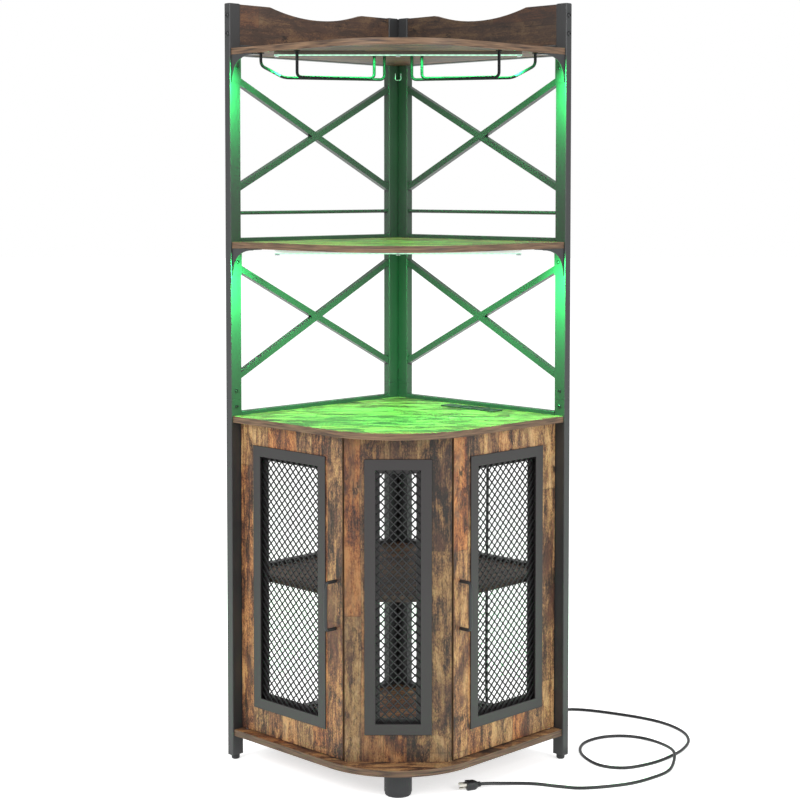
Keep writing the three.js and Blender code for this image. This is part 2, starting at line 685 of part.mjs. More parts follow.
// Centre panel: fixed between the doors, its ends cut along the doors' closing edges
function addCentrePanel() {
  const back = PANEL_FACE_Y + BOARD_THICKNESS;
  const plan = polygon([
    [-PANEL_HALF_WIDTH, PANEL_FACE_Y], [PANEL_HALF_WIDTH, PANEL_FACE_Y],
    [PANEL_HALF_WIDTH - BOARD_THICKNESS, back], [BOARD_THICKNESS - PANEL_HALF_WIDTH, back],
  ]);
  const low = BOTTOM_BOARD_HEIGHT + FIT_GAP;
  const high = COUNTER_HEIGHT - BOARD_THICKNESS - FIT_GAP;
  const half = CENTRE_WINDOW_WIDTH / 2;
  const opening = upright(windowCut(-half, half), PANEL_FACE_Y - OVERRUN, back + OVERRUN);
  addMesh(cabinet, 'centre_panel', cut(standing(plan, low, high), opening), 'board');
  const lay = (shape, from, to) => upright(shape, PANEL_FACE_Y - to, PANEL_FACE_Y - from);
  addMesh(cabinet, 'centre_window', windowOf(-half, half, BOARD_THICKNESS, lay), 'darkSteel');
}

// Feet: a levelling glide under each post and one stout leg under the front
function addFeet() {
  const radius = FOOT_DIAMETER / 2;
  const profile = [
    [0, 0], [radius - FOOT_ROUND, 0], [radius, FOOT_ROUND],
    [radius, FOOT_HEIGHT - FIT_GAP], [0, FOOT_HEIGHT - FIT_GAP],
  ];
  const places = { rear: POST_DEPTH / 2, front: FRAME_LENGTH - POST_DEPTH / 2 };
  for (const side of sides) {
    for (const [place, along] of Object.entries(places)) {
      const foot = turned(profile, 16).translate(along, -TUBE_WIDTH / 2, 0);
      addToSide(side, `${side.name}_${place}_foot`, foot, 'plastic');
    }
  }
  const leg = FRONT_LEG_DIAMETER / 2;
  const pad = leg - FRONT_LEG_PAD_INSET;
  const plate = FRONT_LEG_PLATE_DIAMETER / 2;
  const top = BOTTOM_BOARD_HEIGHT - BOARD_THICKNESS - FIT_GAP;
  const legProfile = [
    [0, 0], [pad - FOOT_ROUND, 0], [pad, FOOT_ROUND], [pad, FRONT_LEG_PAD_HEIGHT],
    [leg, FRONT_LEG_PAD_HEIGHT], [leg, top - FRONT_LEG_PLATE_THICKNESS],
    [plate, top - FRONT_LEG_PLATE_THICKNESS], [plate, top], [0, top],
  ];
  const legMesh = addMesh(cabinet, 'front_leg', turned(legProfile, 32), 'plastic');
  legMesh.position.y = FRONT_Y + FRONT_LEG_SETBACK;
}

// A profile of (radius, height) turned about the upright axis
function turned(profile, segments) {
  const points = profile.map(([x, y]) => new THREE.Vector2(x, y));
  return new THREE.LatheGeometry(points, segments).rotateX(Math.PI / 2);
}

// Corner brackets: a curved web in front, a flange on the post and one under the shelf
function bracketShape(top) {
  const front = BOARD_SIDE;
  const flangeEnd = front - BRACKET_FLANGE;
  const start = FIT_GAP;
  const web = new THREE.Shape();
  web.moveTo(start, top);
  web.lineTo(start, top - BRACKET_HEIGHT);
  web.lineTo(start + BRACKET_TIP, top - BRACKET_HEIGHT);
  const reachY = start + BRACKET_REACH;
  web.quadraticCurveTo(start + BRACKET_TIP, top - BRACKET_TIP, reachY, top - BRACKET_TIP);
  web.lineTo(reachY, top);
  const webPlate = crosswise(web, front - BRACKET_SHEET, front, 10);
  const postFlange = block(flangeEnd, front, start, start + BRACKET_SHEET, top - BRACKET_HEIGHT, top);
  const shelfFlange = block(flangeEnd, front, start, reachY, top - BRACKET_SHEET, top);
  return join(webPlate, postFlange, shelfFlange);
}

const SHELVES = { top: TOP_SHELF_HEIGHT, second: SECOND_SHELF_HEIGHT };
function addCornerBrackets(side) {
  for (const [level, height] of Object.entries(SHELVES)) {
    const bracket = bracketShape(height - BOARD_THICKNESS - FIT_GAP);
    addToSide(side, `${side.name}_${level}_bracket`, bracket, 'darkSteel');
  }
}

// Rear joint angle: a folded strip that ties the two rear posts together from top to bottom
function addRearJointAngle() {
  const seat = CORNER_Y + FIT_GAP / SQ;
  const leg = JOINT_ANGLE_LEG * SQ;
  const sheet = JOINT_ANGLE_SHEET / SQ;
  const plan = polygon([
    [0, seat], [leg, seat + leg], [leg - sheet / 2, seat + leg + sheet / 2],
    [0, seat + sheet], [sheet / 2 - leg, seat + leg + sheet / 2], [-leg, seat + leg],
  ]);
  addMesh(cabinet, 'rear_joint_angle', standing(plan, FOOT_HEIGHT, HEIGHT), 'steel');
}

// Guard rods above the second shelf
function addGuardRod(side) {
  const guard = rod(GUARD_ROD_DIAMETER, RAIL_START, RAIL_END, 10).rotateY(Math.PI / 2);
  const placed = guard.translate(0, -TUBE_WIDTH / 2, SECOND_SHELF_HEIGHT + GUARD_ROD_RISE);
  addToSide(side, `${side.name}_guard_rod`, placed, 'steel');
}

// Glass racks: two bent wires under the top shelf, with a sloping mouth at the outer end
function addRacks() {
  const top = TOP_SHELF_HEIGHT - BOARD_THICKNESS - FIT_GAP;
  const run = top - RACK_DROP;
  const wireTop = top - RACK_PAD_THICKNESS / 2;
  const rise = Math.tan(RACK_SLOPE_DEGREES * Math.PI / 180);
  const across = RACK_SLOT / Math.cos(RACK_SLOPE_DEGREES * Math.PI / 180);
  const innerLine = (x) => -RACK_INNER_Y + (RACK_INNER_X - x) * rise;
  const outerLine = (x) => innerLine(x) + across;
  const inner = [
    new THREE.Vector3(-RACK_INNER_X, innerLine(RACK_INNER_X), wireTop),
    new THREE.Vector3(-RACK_INNER_X, innerLine(RACK_INNER_X), run),
    new THREE.Vector3(-RACK_INNER_END_X, innerLine(RACK_INNER_END_X), run),
    new THREE.Vector3(-RACK_INNER_END_X, innerLine(RACK_INNER_END_X), wireTop),
  ];
  const outer = [
    new THREE.Vector3(-RACK_OUTER_X, -RACK_OUTER_Y, wireTop),
    new THREE.Vector3(-RACK_OUTER_X, -RACK_OUTER_Y, top - RACK_RAMP_DROP),
    new THREE.Vector3(-RACK_RAMP_END_X, outerLine(RACK_RAMP_END_X), run),
    new THREE.Vector3(-RACK_OUTER_END_X, outerLine(RACK_OUTER_END_X), run),
    new THREE.Vector3(-RACK_OUTER_END_X, outerLine(RACK_OUTER_END_X), wireTop),
  ];
  const wires = [inner, outer].map((corners) => {
    return bentWire(corners, RACK_BEND, RACK_WIRE_DIAMETER, 8);
  });
  const pads = [inner, outer].flatMap((corners) => [corners[0], corners[corners.length - 1]]);
  const discs = pads.map((end) => {
    const disc = rod(RACK_PAD_DIAMETER, top - RACK_PAD_THICKNESS, top, RACK_PAD_SIDES);
    return disc.translate(end.x, end.y, 0);
  });
  const ends = [inner[inner.length - 1], outer[outer.length - 1]];
  const span = ends[1].clone().sub(ends[0]);
  const plateLength = span.length();
  const half = RACK_PAD_DIAMETER / 2 * Math.cos(Math.PI / RACK_PAD_SIDES);
  const plate = block(0, plateLength, -half, half, top - RACK_PAD_THICKNESS, top);
  plate.rotateZ(Math.atan2(span.y, span.x)).translate(ends[0].x, ends[0].y, 0);
  const left = join(...wires, ...discs, plate);
  addMesh(cabinet, 'left_glass_rack', left, 'darkSteel');
  const right = mirrorY(left.clone().rotateZ(Math.PI / 2)).rotateZ(-Math.PI / 2);
  addMesh(cabinet, 'right_glass_rack', right, 'darkSteel');
}

// Lamp strips: slim channels across the undersides of both open shelves
function addLamps() {
  const y = FRONT_Y + LAMP_SETBACK;
  const half = LAMP_WIDTH / 2;
  for (const [level, height] of Object.entries(SHELVES)) {
    const top = height - BOARD_THICKNESS - FIT_GAP;
    const low = top - LAMP_HEIGHT;
    const section = new THREE.Shape();
    section.moveTo(y - half, top);
    section.lineTo(y - half, top - LAMP_HEIGHT / 2);
    section.quadraticCurveTo(y - half, low, y, low);
    section.quadraticCurveTo(y + half, low, y + half, top - LAMP_HEIGHT / 2);
    section.lineTo(y + half, top);
    const strip = crosswise(section, -LAMP_HALF_LENGTH, LAMP_HALF_LENGTH, 4);
    addMesh(cabinet, `${level}_lamp_strip`, strip, 'lamp');
  }
}

// Power strip: a thin plate flush on the counter over a body that passes through it
function socketCuts(x, plateTop) {
  const recessLow = plateTop - SOCKET_RECESS;
  const holeLow = plateTop - SOCKET_HOLE_DEPTH;
  const high = plateTop + OVERRUN;
  const half = SOCKET_WIDTH / 2;
  const slotX = SOCKET_SLOT_SPREAD / 2;
  const slotHalf = SOCKET_SLOT_WIDTH / 2;
  const recess = standing(rectangle(x - half, x + half, -half, half, SOCKET_ROUND), recessLow, high);
  const slots = [-slotX, slotX].map((offset) => {
    return block(x + offset - slotHalf, x + offset + slotHalf, 0, SOCKET_SLOT_LENGTH, holeLow, high);
  });
  const earth = rod(SOCKET_EARTH_DIAMETER, holeLow, high, 10).translate(x, -SOCKET_EARTH_OFFSET, 0);
  return [recess, ...slots, earth];
}

function addPowerStrip() {
  const plateTop = COUNTER_HEIGHT + FIT_GAP + STRIP_PLATE_THICKNESS;
  const half = STRIP_LENGTH / 2;
  const halfWidth = STRIP_WIDTH / 2;
  const plate = standing(
    rectangle(-half, half, -halfWidth, halfWidth, STRIP_PLATE_LIP),
    COUNTER_HEIGHT + FIT_GAP,
    plateTop,
  );
  const bodyLow = COUNTER_HEIGHT - STRIP_BODY_DEPTH;
  const lip = STRIP_PLATE_LIP;
  const bodyTop = plateTop - SOCKET_RECESS;
  const body = block(lip - half, half - lip, lip - halfWidth, halfWidth - lip, bodyLow, bodyTop);
  const holes = [];
  const firstX = half - lip - SOCKET_PITCH / 2;
  for (let i = 0; i < SOCKET_COUNT; i++) {
    holes.push(...socketCuts(firstX - i * SOCKET_PITCH, plateTop));
  }
  const portX = firstX - SOCKET_COUNT * SOCKET_PITCH;
  const portHalf = CHARGING_PORT_WIDTH / 2;
  for (const y of [-CHARGING_PORT_PITCH / 2, CHARGING_PORT_PITCH / 2]) {
    const y0 = y - CHARGING_PORT_HEIGHT / 2;
    const y1 = y0 + CHARGING_PORT_HEIGHT;
    const portLow = plateTop - SOCKET_HOLE_DEPTH;
    holes.push(block(portX - portHalf, portX + portHalf, y0, y1, portLow, plateTop + OVERRUN));
  }
  const strip = placeStrip(cut(join(plate, body), ...holes));
  addMesh(cabinet, 'power_strip', join(strip, strainRelief()), 'plastic');
}

// Strain relief: a tapered sleeve on the power strip's wall side, lower than the counter rail
const CORD_EXIT_HEIGHT = COUNTER_HEIGHT - CORD_EXIT_DROP;
const STRIP_WALL_FACE = STRIP_FROM_WALL - STRIP_WIDTH / 2 + STRIP_PLATE_LIP;
function strainRelief() {
  const root = -STRIP_PLATE_LIP;
  const wide = RELIEF_WIDE / 2;
  const profile = [
    [0, root], [wide, root], [wide, 0],
    [RELIEF_NARROW / 2, RELIEF_LENGTH], [0, RELIEF_LENGTH],
  ];
  const sleeve = turned(profile, 16);
  const start = planOf(CORD_EXIT_ALONG_WALL, STRIP_WALL_FACE, true);
  const outward = new THREE.Vector3(SQ, SQ, 0);
  const turn = new THREE.Quaternion().setFromUnitVectors(new THREE.Vector3(0, 0, 1), outward);
  return sleeve.applyQuaternion(turn).translate(start.x, start.y, CORD_EXIT_HEIGHT);
}

// Mains cord: out under the rail, down behind the right wall frame, then one loop on the floor
const CORD_REST = CORD_DIAMETER / 2 + CORD_FLOOR_GAP;
const CORD_CROSSING = CORD_REST + CORD_DIAMETER + CORD_CROSSING_GAP;
const CORD_START = planOf(CORD_EXIT_ALONG_WALL, STRIP_WALL_FACE - 2 * FIT_GAP - RELIEF_LENGTH, true);
const CORD_ROUTE = [
  [CORD_START.x, CORD_START.y, CORD_EXIT_HEIGHT],
  [200.8, 158.4, 800],
  [209.4, 167, 797.6],
  [216.8, 174.4, 790.6],
  [221.8, 179.3, 780.2],
  [223.4, 181, 768],
  [223.4, 181, 380],
  [223.4, 181, 100],
  [227.1, 183.7, 44],
  [237.6, 191.4, 22.5],
  [253.3, 202.8, 9.2],
  [273, 217, 4.6],
  [372, 290, CORD_REST],
  [447, 344, CORD_REST],
  [587, 295, CORD_REST],
  [675, 229, CORD_REST],
  [715, 154, CORD_REST],
  [718, 84, CORD_REST],
  [693, 16, CORD_REST],
  [661, -30, CORD_REST],
  [604, -87, CORD_REST],
  [531, -122, CORD_REST],
  [480, -105, CORD_REST],
  [448, -45, CORD_REST],
  [443, 16, CORD_REST],
  [463, 72, CORD_REST],
  [511, 112, CORD_REST],
  [565, 120, CORD_REST],
  [606, 104, CORD_REST],
  [643, 48, 8.5],
  [663, -30, CORD_CROSSING],
  [656, -83, 8.5],
  [634, -142, CORD_REST],
  [588, -192, CORD_REST],
  [526, -234, CORD_REST],
  [416, -262, CORD_REST],
  [370, -252, CORD_REST],
  [310, -233, CORD_REST],
  [242, -236, 6],
  [195, -250, PLUG_HEIGHT / 2],
];

function addCord() {
  const points = CORD_ROUTE.map(([x, y, z]) => new THREE.Vector3(x, y, z));
  const last = points[points.length - 1];
  const heading = last.clone().sub(points[points.length - 2]).setZ(0).normalize();
  const end = last.clone().addScaledVector(heading, CORD_DIAMETER);
  const path = new THREE.CatmullRomCurve3([...points, end], false, 'centripetal');
  const section = roundSection(CORD_DIAMETER, CORD_SIDES);
  const cord = new THREE.ExtrudeGeometry(section, { steps: CORD_STEPS, extrudePath: path });
  addMesh(cabinet, 'power_cord', cord, 'rubber');
  addPlug(end, heading);
}

// Plug: a body that narrows to its cord end, two flat prongs and a round earth prong
function addPlug(seat, heading) {
  const start = FIT_GAP;
  const nose = start + PLUG_LENGTH * (1 - PLUG_NOSE_SHARE);
  const end = start + PLUG_LENGTH;
  const neck = PLUG_NECK / 2;
  const wide = PLUG_WIDTH / 2;
  const outline = polygon([
    [start, -neck], [nose, -wide], [end, -wide],
    [end, wide], [nose, wide], [start, neck],
  ]);
  const body = standing(outline, -PLUG_HEIGHT / 2, PLUG_HEIGHT / 2);
  const tip = end + PRONG_LENGTH;
  const root = end - PRONG_THICKNESS;
  const blades = [-PRONG_SPREAD / 2, PRONG_SPREAD / 2].map((y) => {
    const half = PRONG_THICKNESS / 2;
    return block(root, tip, y - half, y + half, 0, PRONG_WIDTH);
  });
  const earth = rod(EARTH_PRONG_DIAMETER, root, tip, 10).rotateY(Math.PI / 2);
  const plug = join(body, ...blades, earth.translate(0, 0, -EARTH_PRONG_DROP));
  const mesh = addMesh(cabinet, 'power_plug', plug, 'rubber');
  mesh.rotation.z = Math.atan2(heading.y, heading.x);
  mesh.position.set(seat.x, seat.y, seat.z);
}

for (const side of sides) {
  addPosts(side);
  addRails(side);
  addBraces(side);
  addGuardRod(side);
  addFence(side);
  addDoor(side);
  addCornerBrackets(side);
}
addBoards();
addInnerShelf();
addCentrePanel();
addFeet();
addRearJointAngle();
addRacks();
addLamps();
addPowerStrip();
addCord();

export default cabinet;
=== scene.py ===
import bpy
import bmesh
import math
import numpy as np
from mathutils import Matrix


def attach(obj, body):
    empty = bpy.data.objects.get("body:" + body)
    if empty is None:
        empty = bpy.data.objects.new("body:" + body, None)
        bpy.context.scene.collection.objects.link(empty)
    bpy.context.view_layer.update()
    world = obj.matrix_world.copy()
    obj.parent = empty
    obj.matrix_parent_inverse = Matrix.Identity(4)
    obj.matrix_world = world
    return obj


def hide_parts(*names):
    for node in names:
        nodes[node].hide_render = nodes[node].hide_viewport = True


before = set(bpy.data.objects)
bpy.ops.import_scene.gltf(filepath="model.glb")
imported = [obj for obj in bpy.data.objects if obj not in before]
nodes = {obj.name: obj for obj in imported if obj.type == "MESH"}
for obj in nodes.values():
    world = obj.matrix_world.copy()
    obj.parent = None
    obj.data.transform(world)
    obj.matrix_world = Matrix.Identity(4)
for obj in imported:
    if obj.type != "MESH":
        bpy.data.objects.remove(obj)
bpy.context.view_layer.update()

# The camera stands in front of the cabinet a little above the second shelf and looks slightly
# down. Its lens and shift give the photograph's framing.
CAMERA_DIP = 0.051  # radians below level
camera = bpy.data.objects.new("camera", bpy.data.cameras.new("camera"))
bpy.context.scene.collection.objects.link(camera)
camera.location = (0.0, -4.2172, 1.36935)
camera.rotation_euler = (math.radians(90) - CAMERA_DIP, 0.0, 0.0)
camera.data.sensor_width = 36
camera.data.lens = 79.46
camera.data.shift_x = 0.0024
camera.data.shift_y = -0.153
bpy.context.scene.camera = camera


# Mains cord: a round three-core lead in a black PVC jacket, leaving the power strip under the
# counter. It passes under the counter's rail, hangs behind the right wall frame and lies on the
# floor in one loop, with its moulded plug at the front.
MIX_A, MIX_B, MIX_RESULT = 6, 7, 2  # the Mix node's sockets for colours


def add(tree, kind, inputs=None, out=0, **settings):
    """Adds one shader node and returns one of its outputs, if it has any. Inputs are values or
    other nodes' outputs, by socket name or number, and settings are the node's properties."""
    node = tree.nodes.new(f"ShaderNode{kind}")
    for name, value in settings.items():
        setattr(node, name, value)
    for name, value in (inputs or {}).items():
        if isinstance(value, bpy.types.NodeSocket):
            tree.links.new(value, node.inputs[name])
        else:
            node.inputs[name].default_value = value
    return node.outputs[out] if node.outputs else None


def linear(code, factor=1.0):
    """An sRGB hex colour as linear red, green and blue times a factor, and full alpha."""
    parts = [int(code[i:i + 2], 16) / 255 for i in (1, 3, 5)]
    return [(p / 12.92 if p <= 0.04045 else ((p + 0.055) / 1.055) ** 2.4) * factor
            for p in parts] + [1.0]


def new_finish(name):
    """An empty material and its node tree."""
    made = bpy.data.materials.new(name)
    made.use_nodes = True
    made.node_tree.nodes.clear()
    return made, made.node_tree


def shade(tree, inputs):
    """Ends a material's tree with a Principled shader of these inputs."""
    shader = add(tree, "BsdfPrincipled", inputs)
    add(tree, "OutputMaterial", {"Surface": shader})


def pvc(name, code, gloss):
    """Moulded soft PVC: even colour, a slight sheen and a faint moulding texture about 1 mm
    across."""
    made, tree = new_finish(name)
    place = add(tree, "TexCoord", out="Object")
    grain = add(tree, "TexNoise", {"Vector": place, "Scale": 900, "Detail": 3})
    tone = add(tree, "Mix", {0: grain, MIX_A: linear(code), MIX_B: linear(code, 1.35)},
               out=MIX_RESULT, data_type="RGBA")
    bump = add(tree, "Bump", {"Strength": 0.12, "Distance": 0.0004, "Height": grain})
    shade(tree, {"Base Color": tone, "Roughness": gloss, "Normal": bump})
    return made


jacket = pvc("black_pvc_jacket", "#18191b", 0.38)
moulding = pvc("moulded_black_pvc", "#1c1d1f", 0.45)

CORD_DIAMETER = 0.0075
REST = 0.00405  # height of the cord's centre where it lies on the floor
route = np.array([
    (0.18992, 0.14752, 0.8), (0.2008, 0.1584, 0.8), (0.2094, 0.167, 0.7976),
    (0.2168, 0.1744, 0.7906), (0.2218, 0.1793, 0.7802), (0.2234, 0.181, 0.768),
    (0.2234, 0.181, 0.38), (0.2234, 0.181, 0.1), (0.2271, 0.1837, 0.044),
    (0.2376, 0.1914, 0.0225), (0.2533, 0.2028, 0.0092), (0.273, 0.217, 0.0046),
    (0.372, 0.29, REST), (0.447, 0.344, REST), (0.587, 0.295, REST), (0.675, 0.229, REST),
    (0.715, 0.154, REST), (0.718, 0.084, REST), (0.693, 0.016, REST), (0.661, -0.03, REST),
    (0.604, -0.087, REST), (0.531, -0.122, REST), (0.48, -0.105, REST), (0.448, -0.045, REST),
    (0.443, 0.016, REST), (0.463, 0.072, REST), (0.511, 0.112, REST), (0.565, 0.12, REST),
    (0.606, 0.104, REST), (0.643, 0.048, 0.0085), (0.663, -0.03, 0.01385),
    (0.656, -0.083, 0.0085), (0.634, -0.142, REST), (0.588, -0.192, REST),
    (0.526, -0.234, REST), (0.416, -0.262, REST), (0.37, -0.252, REST), (0.31, -0.233, REST),
    (0.242, -0.236, 0.006), (0.195, -0.25, 0.01),
])


def smooth_line(points, per_span):
    """Centripetal Catmull-Rom: knots are spaced by the square root of each chord, and each span
    blends three linear steps over its four nearest points."""
    ends = np.vstack([2 * points[0] - points[1], points, 2 * points[-1] - points[-2]])
    gaps = np.sqrt(np.linalg.norm(np.diff(ends, axis=0), axis=1))
    knots = np.concatenate([[0], np.cumsum(gaps)])
    spans = np.arange(1, len(ends) - 2)
    share = np.linspace(0, 1, per_span, endpoint=False)[None, :, None]
    k = [knots[spans + i][:, None, None] for i in (-1, 0, 1, 2)]
    p = [ends[spans + i][:, None, :] for i in (-1, 0, 1, 2)]
    t = k[1] + share * (k[2] - k[1])
    a = [((k[i + 1] - t) * p[i] + (t - k[i]) * p[i + 1]) / (k[i + 1] - k[i]) for i in range(3)]
    b = [((k[i + 2] - t) * a[i] + (t - k[i]) * a[i + 1]) / (k[i + 2] - k[i]) for i in range(2)]
    line = ((k[2] - t) * b[0] + (t - k[1]) * b[1]) / (k[2] - k[1])
    return np.vstack([line.reshape(-1, 3), points[-1]])


heading = (route[-1] - route[-2]) * (1, 1, 0)
heading /= np.linalg.norm(heading)
plug_seat = route[-1] + heading * CORD_DIAMETER
cord_line = smooth_line(np.vstack([route, plug_seat]), 12)
cord_curve = bpy.data.curves.new("mains_cord", "CURVE")
cord_curve.dimensions = "3D"
cord_curve.bevel_depth = CORD_DIAMETER / 2
cord_curve.bevel_resolution = 4
cord_curve.use_fill_caps = True
spline = cord_curve.splines.new("POLY")
spline.points.add(len(cord_line) - 1)
spline.points.foreach_set("co", np.column_stack([cord_line, np.ones(len(cord_line))]).ravel())
mains_cord = bpy.data.objects.new("mains_cord", cord_curve)
bpy.context.scene.collection.objects.link(mains_cord)
cord_curve.materials.append(jacket)
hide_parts("power_cord")
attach(mains_cord, "cabinet")


# Plug: a moulded grip with a ribbed neck, over two flat nickel-plated prongs and a round earth
# prong. The grip is one PVC moulding on the cord's end.
def piece(name, points, faces, finish, body, slot):
    """A mesh object from arrays: doubles merged, faces turned outwards, riding on a body."""
    mesh = bpy.data.meshes.new(name)
    mesh.from_pydata(np.asarray(points).reshape(-1, 3).tolist(), [], faces)
    work = bmesh.new()
    work.from_mesh(mesh)
    bmesh.ops.remove_doubles(work, verts=work.verts, dist=1e-6)
    bmesh.ops.recalc_face_normals(work, faces=work.faces)
    work.to_mesh(mesh)
    work.free()
    made = bpy.data.objects.new(name, mesh)
    bpy.context.scene.collection.objects.link(made)
    mesh.materials.append(finish)
    mesh.shade_smooth()
    mesh.set_sharp_from_angle(angle=math.radians(35))
    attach(made, body)
    return made


def skin(rings, start=0, closed_along=False):
    """Faces of a tube whose rings are rows of equally many points: quads between neighbours and
    a flat face on each end, unless the rings close on themselves."""
    count, around = rings.shape[:2]
    row = np.arange(count if closed_along else count - 1)[:, None]
    col = np.arange(around)[None, :]
    nxt = (row + 1) % count
    quads = np.stack([row * around + col, row * around + (col + 1) % around,
                      nxt * around + (col + 1) % around, nxt * around + col], axis=-1)
    faces = (quads.reshape(-1, 4) + start).tolist()
    if not closed_along:
        faces.append((np.arange(around)[::-1] + start).tolist())
        faces.append((np.arange(around) + (count - 1) * around + start).tolist())
    return faces


def bundle(tubes):
    """Points and faces of several tubes of rings, to lie side by side in one mesh."""
    faces, start = [], 0
    for rings in tubes:
        faces += skin(rings, start)
        start += rings.shape[0] * rings.shape[1]
    return np.vstack([rings.reshape(-1, 3) for rings in tubes]), faces


def outline(half_x, half_y, corner, steps=5):
    """A rectangle with round corners: each corner is a quarter circle about its own centre."""
    turn = np.linspace(0, math.pi / 2, steps)
    around = (np.arange(4)[:, None] * math.pi / 2 + turn).ravel()
    centre_x = np.repeat([1, -1, -1, 1], steps) * (half_x - corner)
    centre_y = np.repeat([1, 1, -1, -1], steps) * (half_y - corner)
    return np.column_stack([centre_x + corner * np.cos(around),
                            centre_y + corner * np.sin(around)])


def loft(stations):
    """Rings of rounded rectangles, one for each (distance along, half width, half height,
    corner)."""
    return np.array([np.insert(outline(*rest), 0, along, axis=1) for along, *rest in stations])


def turned_to(points, centre, along, side):
    """Points of (along, side, third) axes moved to a centre; the third axis squares the other
    two."""
    along = np.array(along, float) / np.linalg.norm(along)
    side = np.array(side, float) - np.dot(side, along) * along
    side /= np.linalg.norm(side)
    axes = np.array([along, side, np.cross(along, side)])
    return points @ axes + np.array(centre)


def plated(name, code, scale, detail, low, high):
    """Plated metal: even colour, with a roughness that wanders between low and high as the
    plating is more or less worn."""
    made, tree = new_finish(name)
    place = add(tree, "TexCoord", out="Object")
    wear = add(tree, "TexNoise", {"Vector": place, "Scale": scale, "Detail": detail})
    gloss = add(tree, "MapRange", {"Value": wear, "To Min": low, "To Max": high})
    shade(tree, {"Base Color": linear(code), "Metallic": 1.0, "Roughness": gloss})
    return made


plug_side = (-heading[1], heading[0], 0)
grip = loft([
    (0.0003, 0.0055, 0.0055, 0.005), (0.002, 0.006, 0.006, 0.005),
    (0.003, 0.0052, 0.0052, 0.005), (0.0045, 0.0063, 0.006, 0.005),
    (0.0055, 0.0058, 0.0056, 0.005), (0.008, 0.0075, 0.0068, 0.005),
    (0.0125, 0.0112, 0.0088, 0.006), (0.016, 0.0125, 0.0096, 0.006),
    (0.024, 0.0128, 0.0098, 0.006), (0.0325, 0.013, 0.01, 0.0055),
    (0.0338, 0.0128, 0.0098, 0.0055), (0.0343, 0.012, 0.009, 0.005),
])
plug_grip = piece("plug_grip", turned_to(grip, plug_seat, heading, plug_side), skin(grip),
                  moulding, "cabinet", "cord_rubber")
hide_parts("power_plug")

nickel = plated("nickel_plated_brass", "#c9c6bd", 700, 2, 0.2, 0.38)
PRONG_ROOT, PRONG_BEVEL, PRONG_TIP = 0.033, 0.0495, 0.0512  # from the grip's cord end
BLADE = (0.0008, 0.0032, 0.0004)  # half thickness, half width and edge rounding
EARTH = (0.0024, 0.0024, 0.0023)
BLADE_OFF, BLADE_UP, EARTH_UP = 0.00635, 0.003, -0.005  # off the plug's middle
prong_rings = []
for off, up, (half_y, half_z, corner) in ((-BLADE_OFF, BLADE_UP, BLADE),
                                          (BLADE_OFF, BLADE_UP, BLADE), (0, EARTH_UP, EARTH)):
    rings = loft([(PRONG_ROOT, half_y, half_z, corner), (PRONG_BEVEL, half_y, half_z, corner),
                  (PRONG_TIP, half_y * 0.6, half_z * 0.7, corner * 0.6)]) + (0, off, up)
    prong_rings.append(turned_to(rings, plug_seat, heading, plug_side))
prongs = piece("plug_prongs", *bundle(prong_rings), nickel, "cabinet", "bright_steel")


# Frame: rectangular steel tubes, mig welded and powder coated matt charcoal. The posts come in
# two lengths that meet above the counter. Crossed bars and guard rods close the open bays.
def powder_coat(name, code, roughness, shine=0.5):
    """Baked powder: orange-peel bump about 1.5 mm across, drawn a little coarse, over an even
    charcoal with faint cloudy tone."""
    made, tree = new_finish(name)
    place = add(tree, "TexCoord", out="Object")
    peel = add(tree, "TexNoise", {"Vector": place, "Scale": 650})
    cloud = add(tree, "TexNoise", {"Vector": place, "Scale": 9, "Detail": 4})
    tone = add(tree, "Mix", {0: cloud, MIX_A: linear(code, 0.82), MIX_B: linear(code, 1.2)},
               out=MIX_RESULT, data_type="RGBA")
    gloss = add(tree, "MapRange", {"Value": peel, "To Min": roughness - 0.08,
                                   "To Max": roughness + 0.1})
    bump = add(tree, "Bump", {"Strength": 0.25, "Distance": 0.0001, "Height": peel})
    shade(tree, {"Base Color": tone, "Roughness": gloss, "Normal": bump,
                 "Specular IOR Level": shine})
    return made


def dress(name, finish):
    """Gives a carried-over solid its finish."""
    for held in nodes[name].material_slots:
        held.material = finish


SIDES = ("left", "right")
tube_coat = powder_coat("charcoal_powder_coat", "#323334", 0.36)
for side in SIDES:
    for part in ("front_post_lower", "front_post_upper", "rear_post_lower", "rear_post_upper",
                 "bottom_rail", "inner_rail", "counter_rail", "second_rail", "top_rail",
                 "upper_brace", "lower_brace", "guard_rod", "top_bracket", "second_bracket"):
        dress(f"{side}_{part}", tube_coat)
dress("rear_joint_angle", tube_coat)


# Screws: black pan heads with a hexagon socket, 9 mm across. They hold the post lengths and the
# corner brackets, and the rails to the boards from outside. Larger bolts, 12 mm across, hold the
# fence boards to the front posts.
ROOT = math.sqrt(0.5)
UP = (0, 0, 1)
FRONT_REACH = 693
TUBE_WIDTH = 20
CORNER = (FRONT_REACH - TUBE_WIDTH * ROOT) / 2  # y of the wall frames' inner corner


def at_wall(along, into, up, right):
    """Millimetres along a wall from its corner, into the room and up, as metres in the row
    frame."""
    x = (np.asarray(into, float) - along) * ROOT
    y = CORNER - (np.asarray(along, float) + into) * ROOT
    return np.stack(np.broadcast_arrays(-x if right else x, y, up), axis=-1) / 1000


def turned_heads(name, profile, centres, axes, finish, slot, around=16):
    """Like pieces of one profile of (radius, height) pairs, turned about an axis at each
    centre."""
    profile = np.array(profile)
    angle = np.arange(around) * 2 * math.pi / around
    rings = np.stack([np.broadcast_to(profile[:, 1:], (len(profile), around)),
                      profile[:, :1] * np.cos(angle), profile[:, :1] * np.sin(angle)], axis=-1)
    heads = [turned_to(rings, centre, axis, UP if abs(axis[2]) < 0.9 else (1, 0, 0))
             for centre, axis in zip(centres, axes)]
    return piece(name, *bundle(heads), finish, "cabinet", slot)


oxide = powder_coat("black_oxide_screw", "#17181a", 0.4)

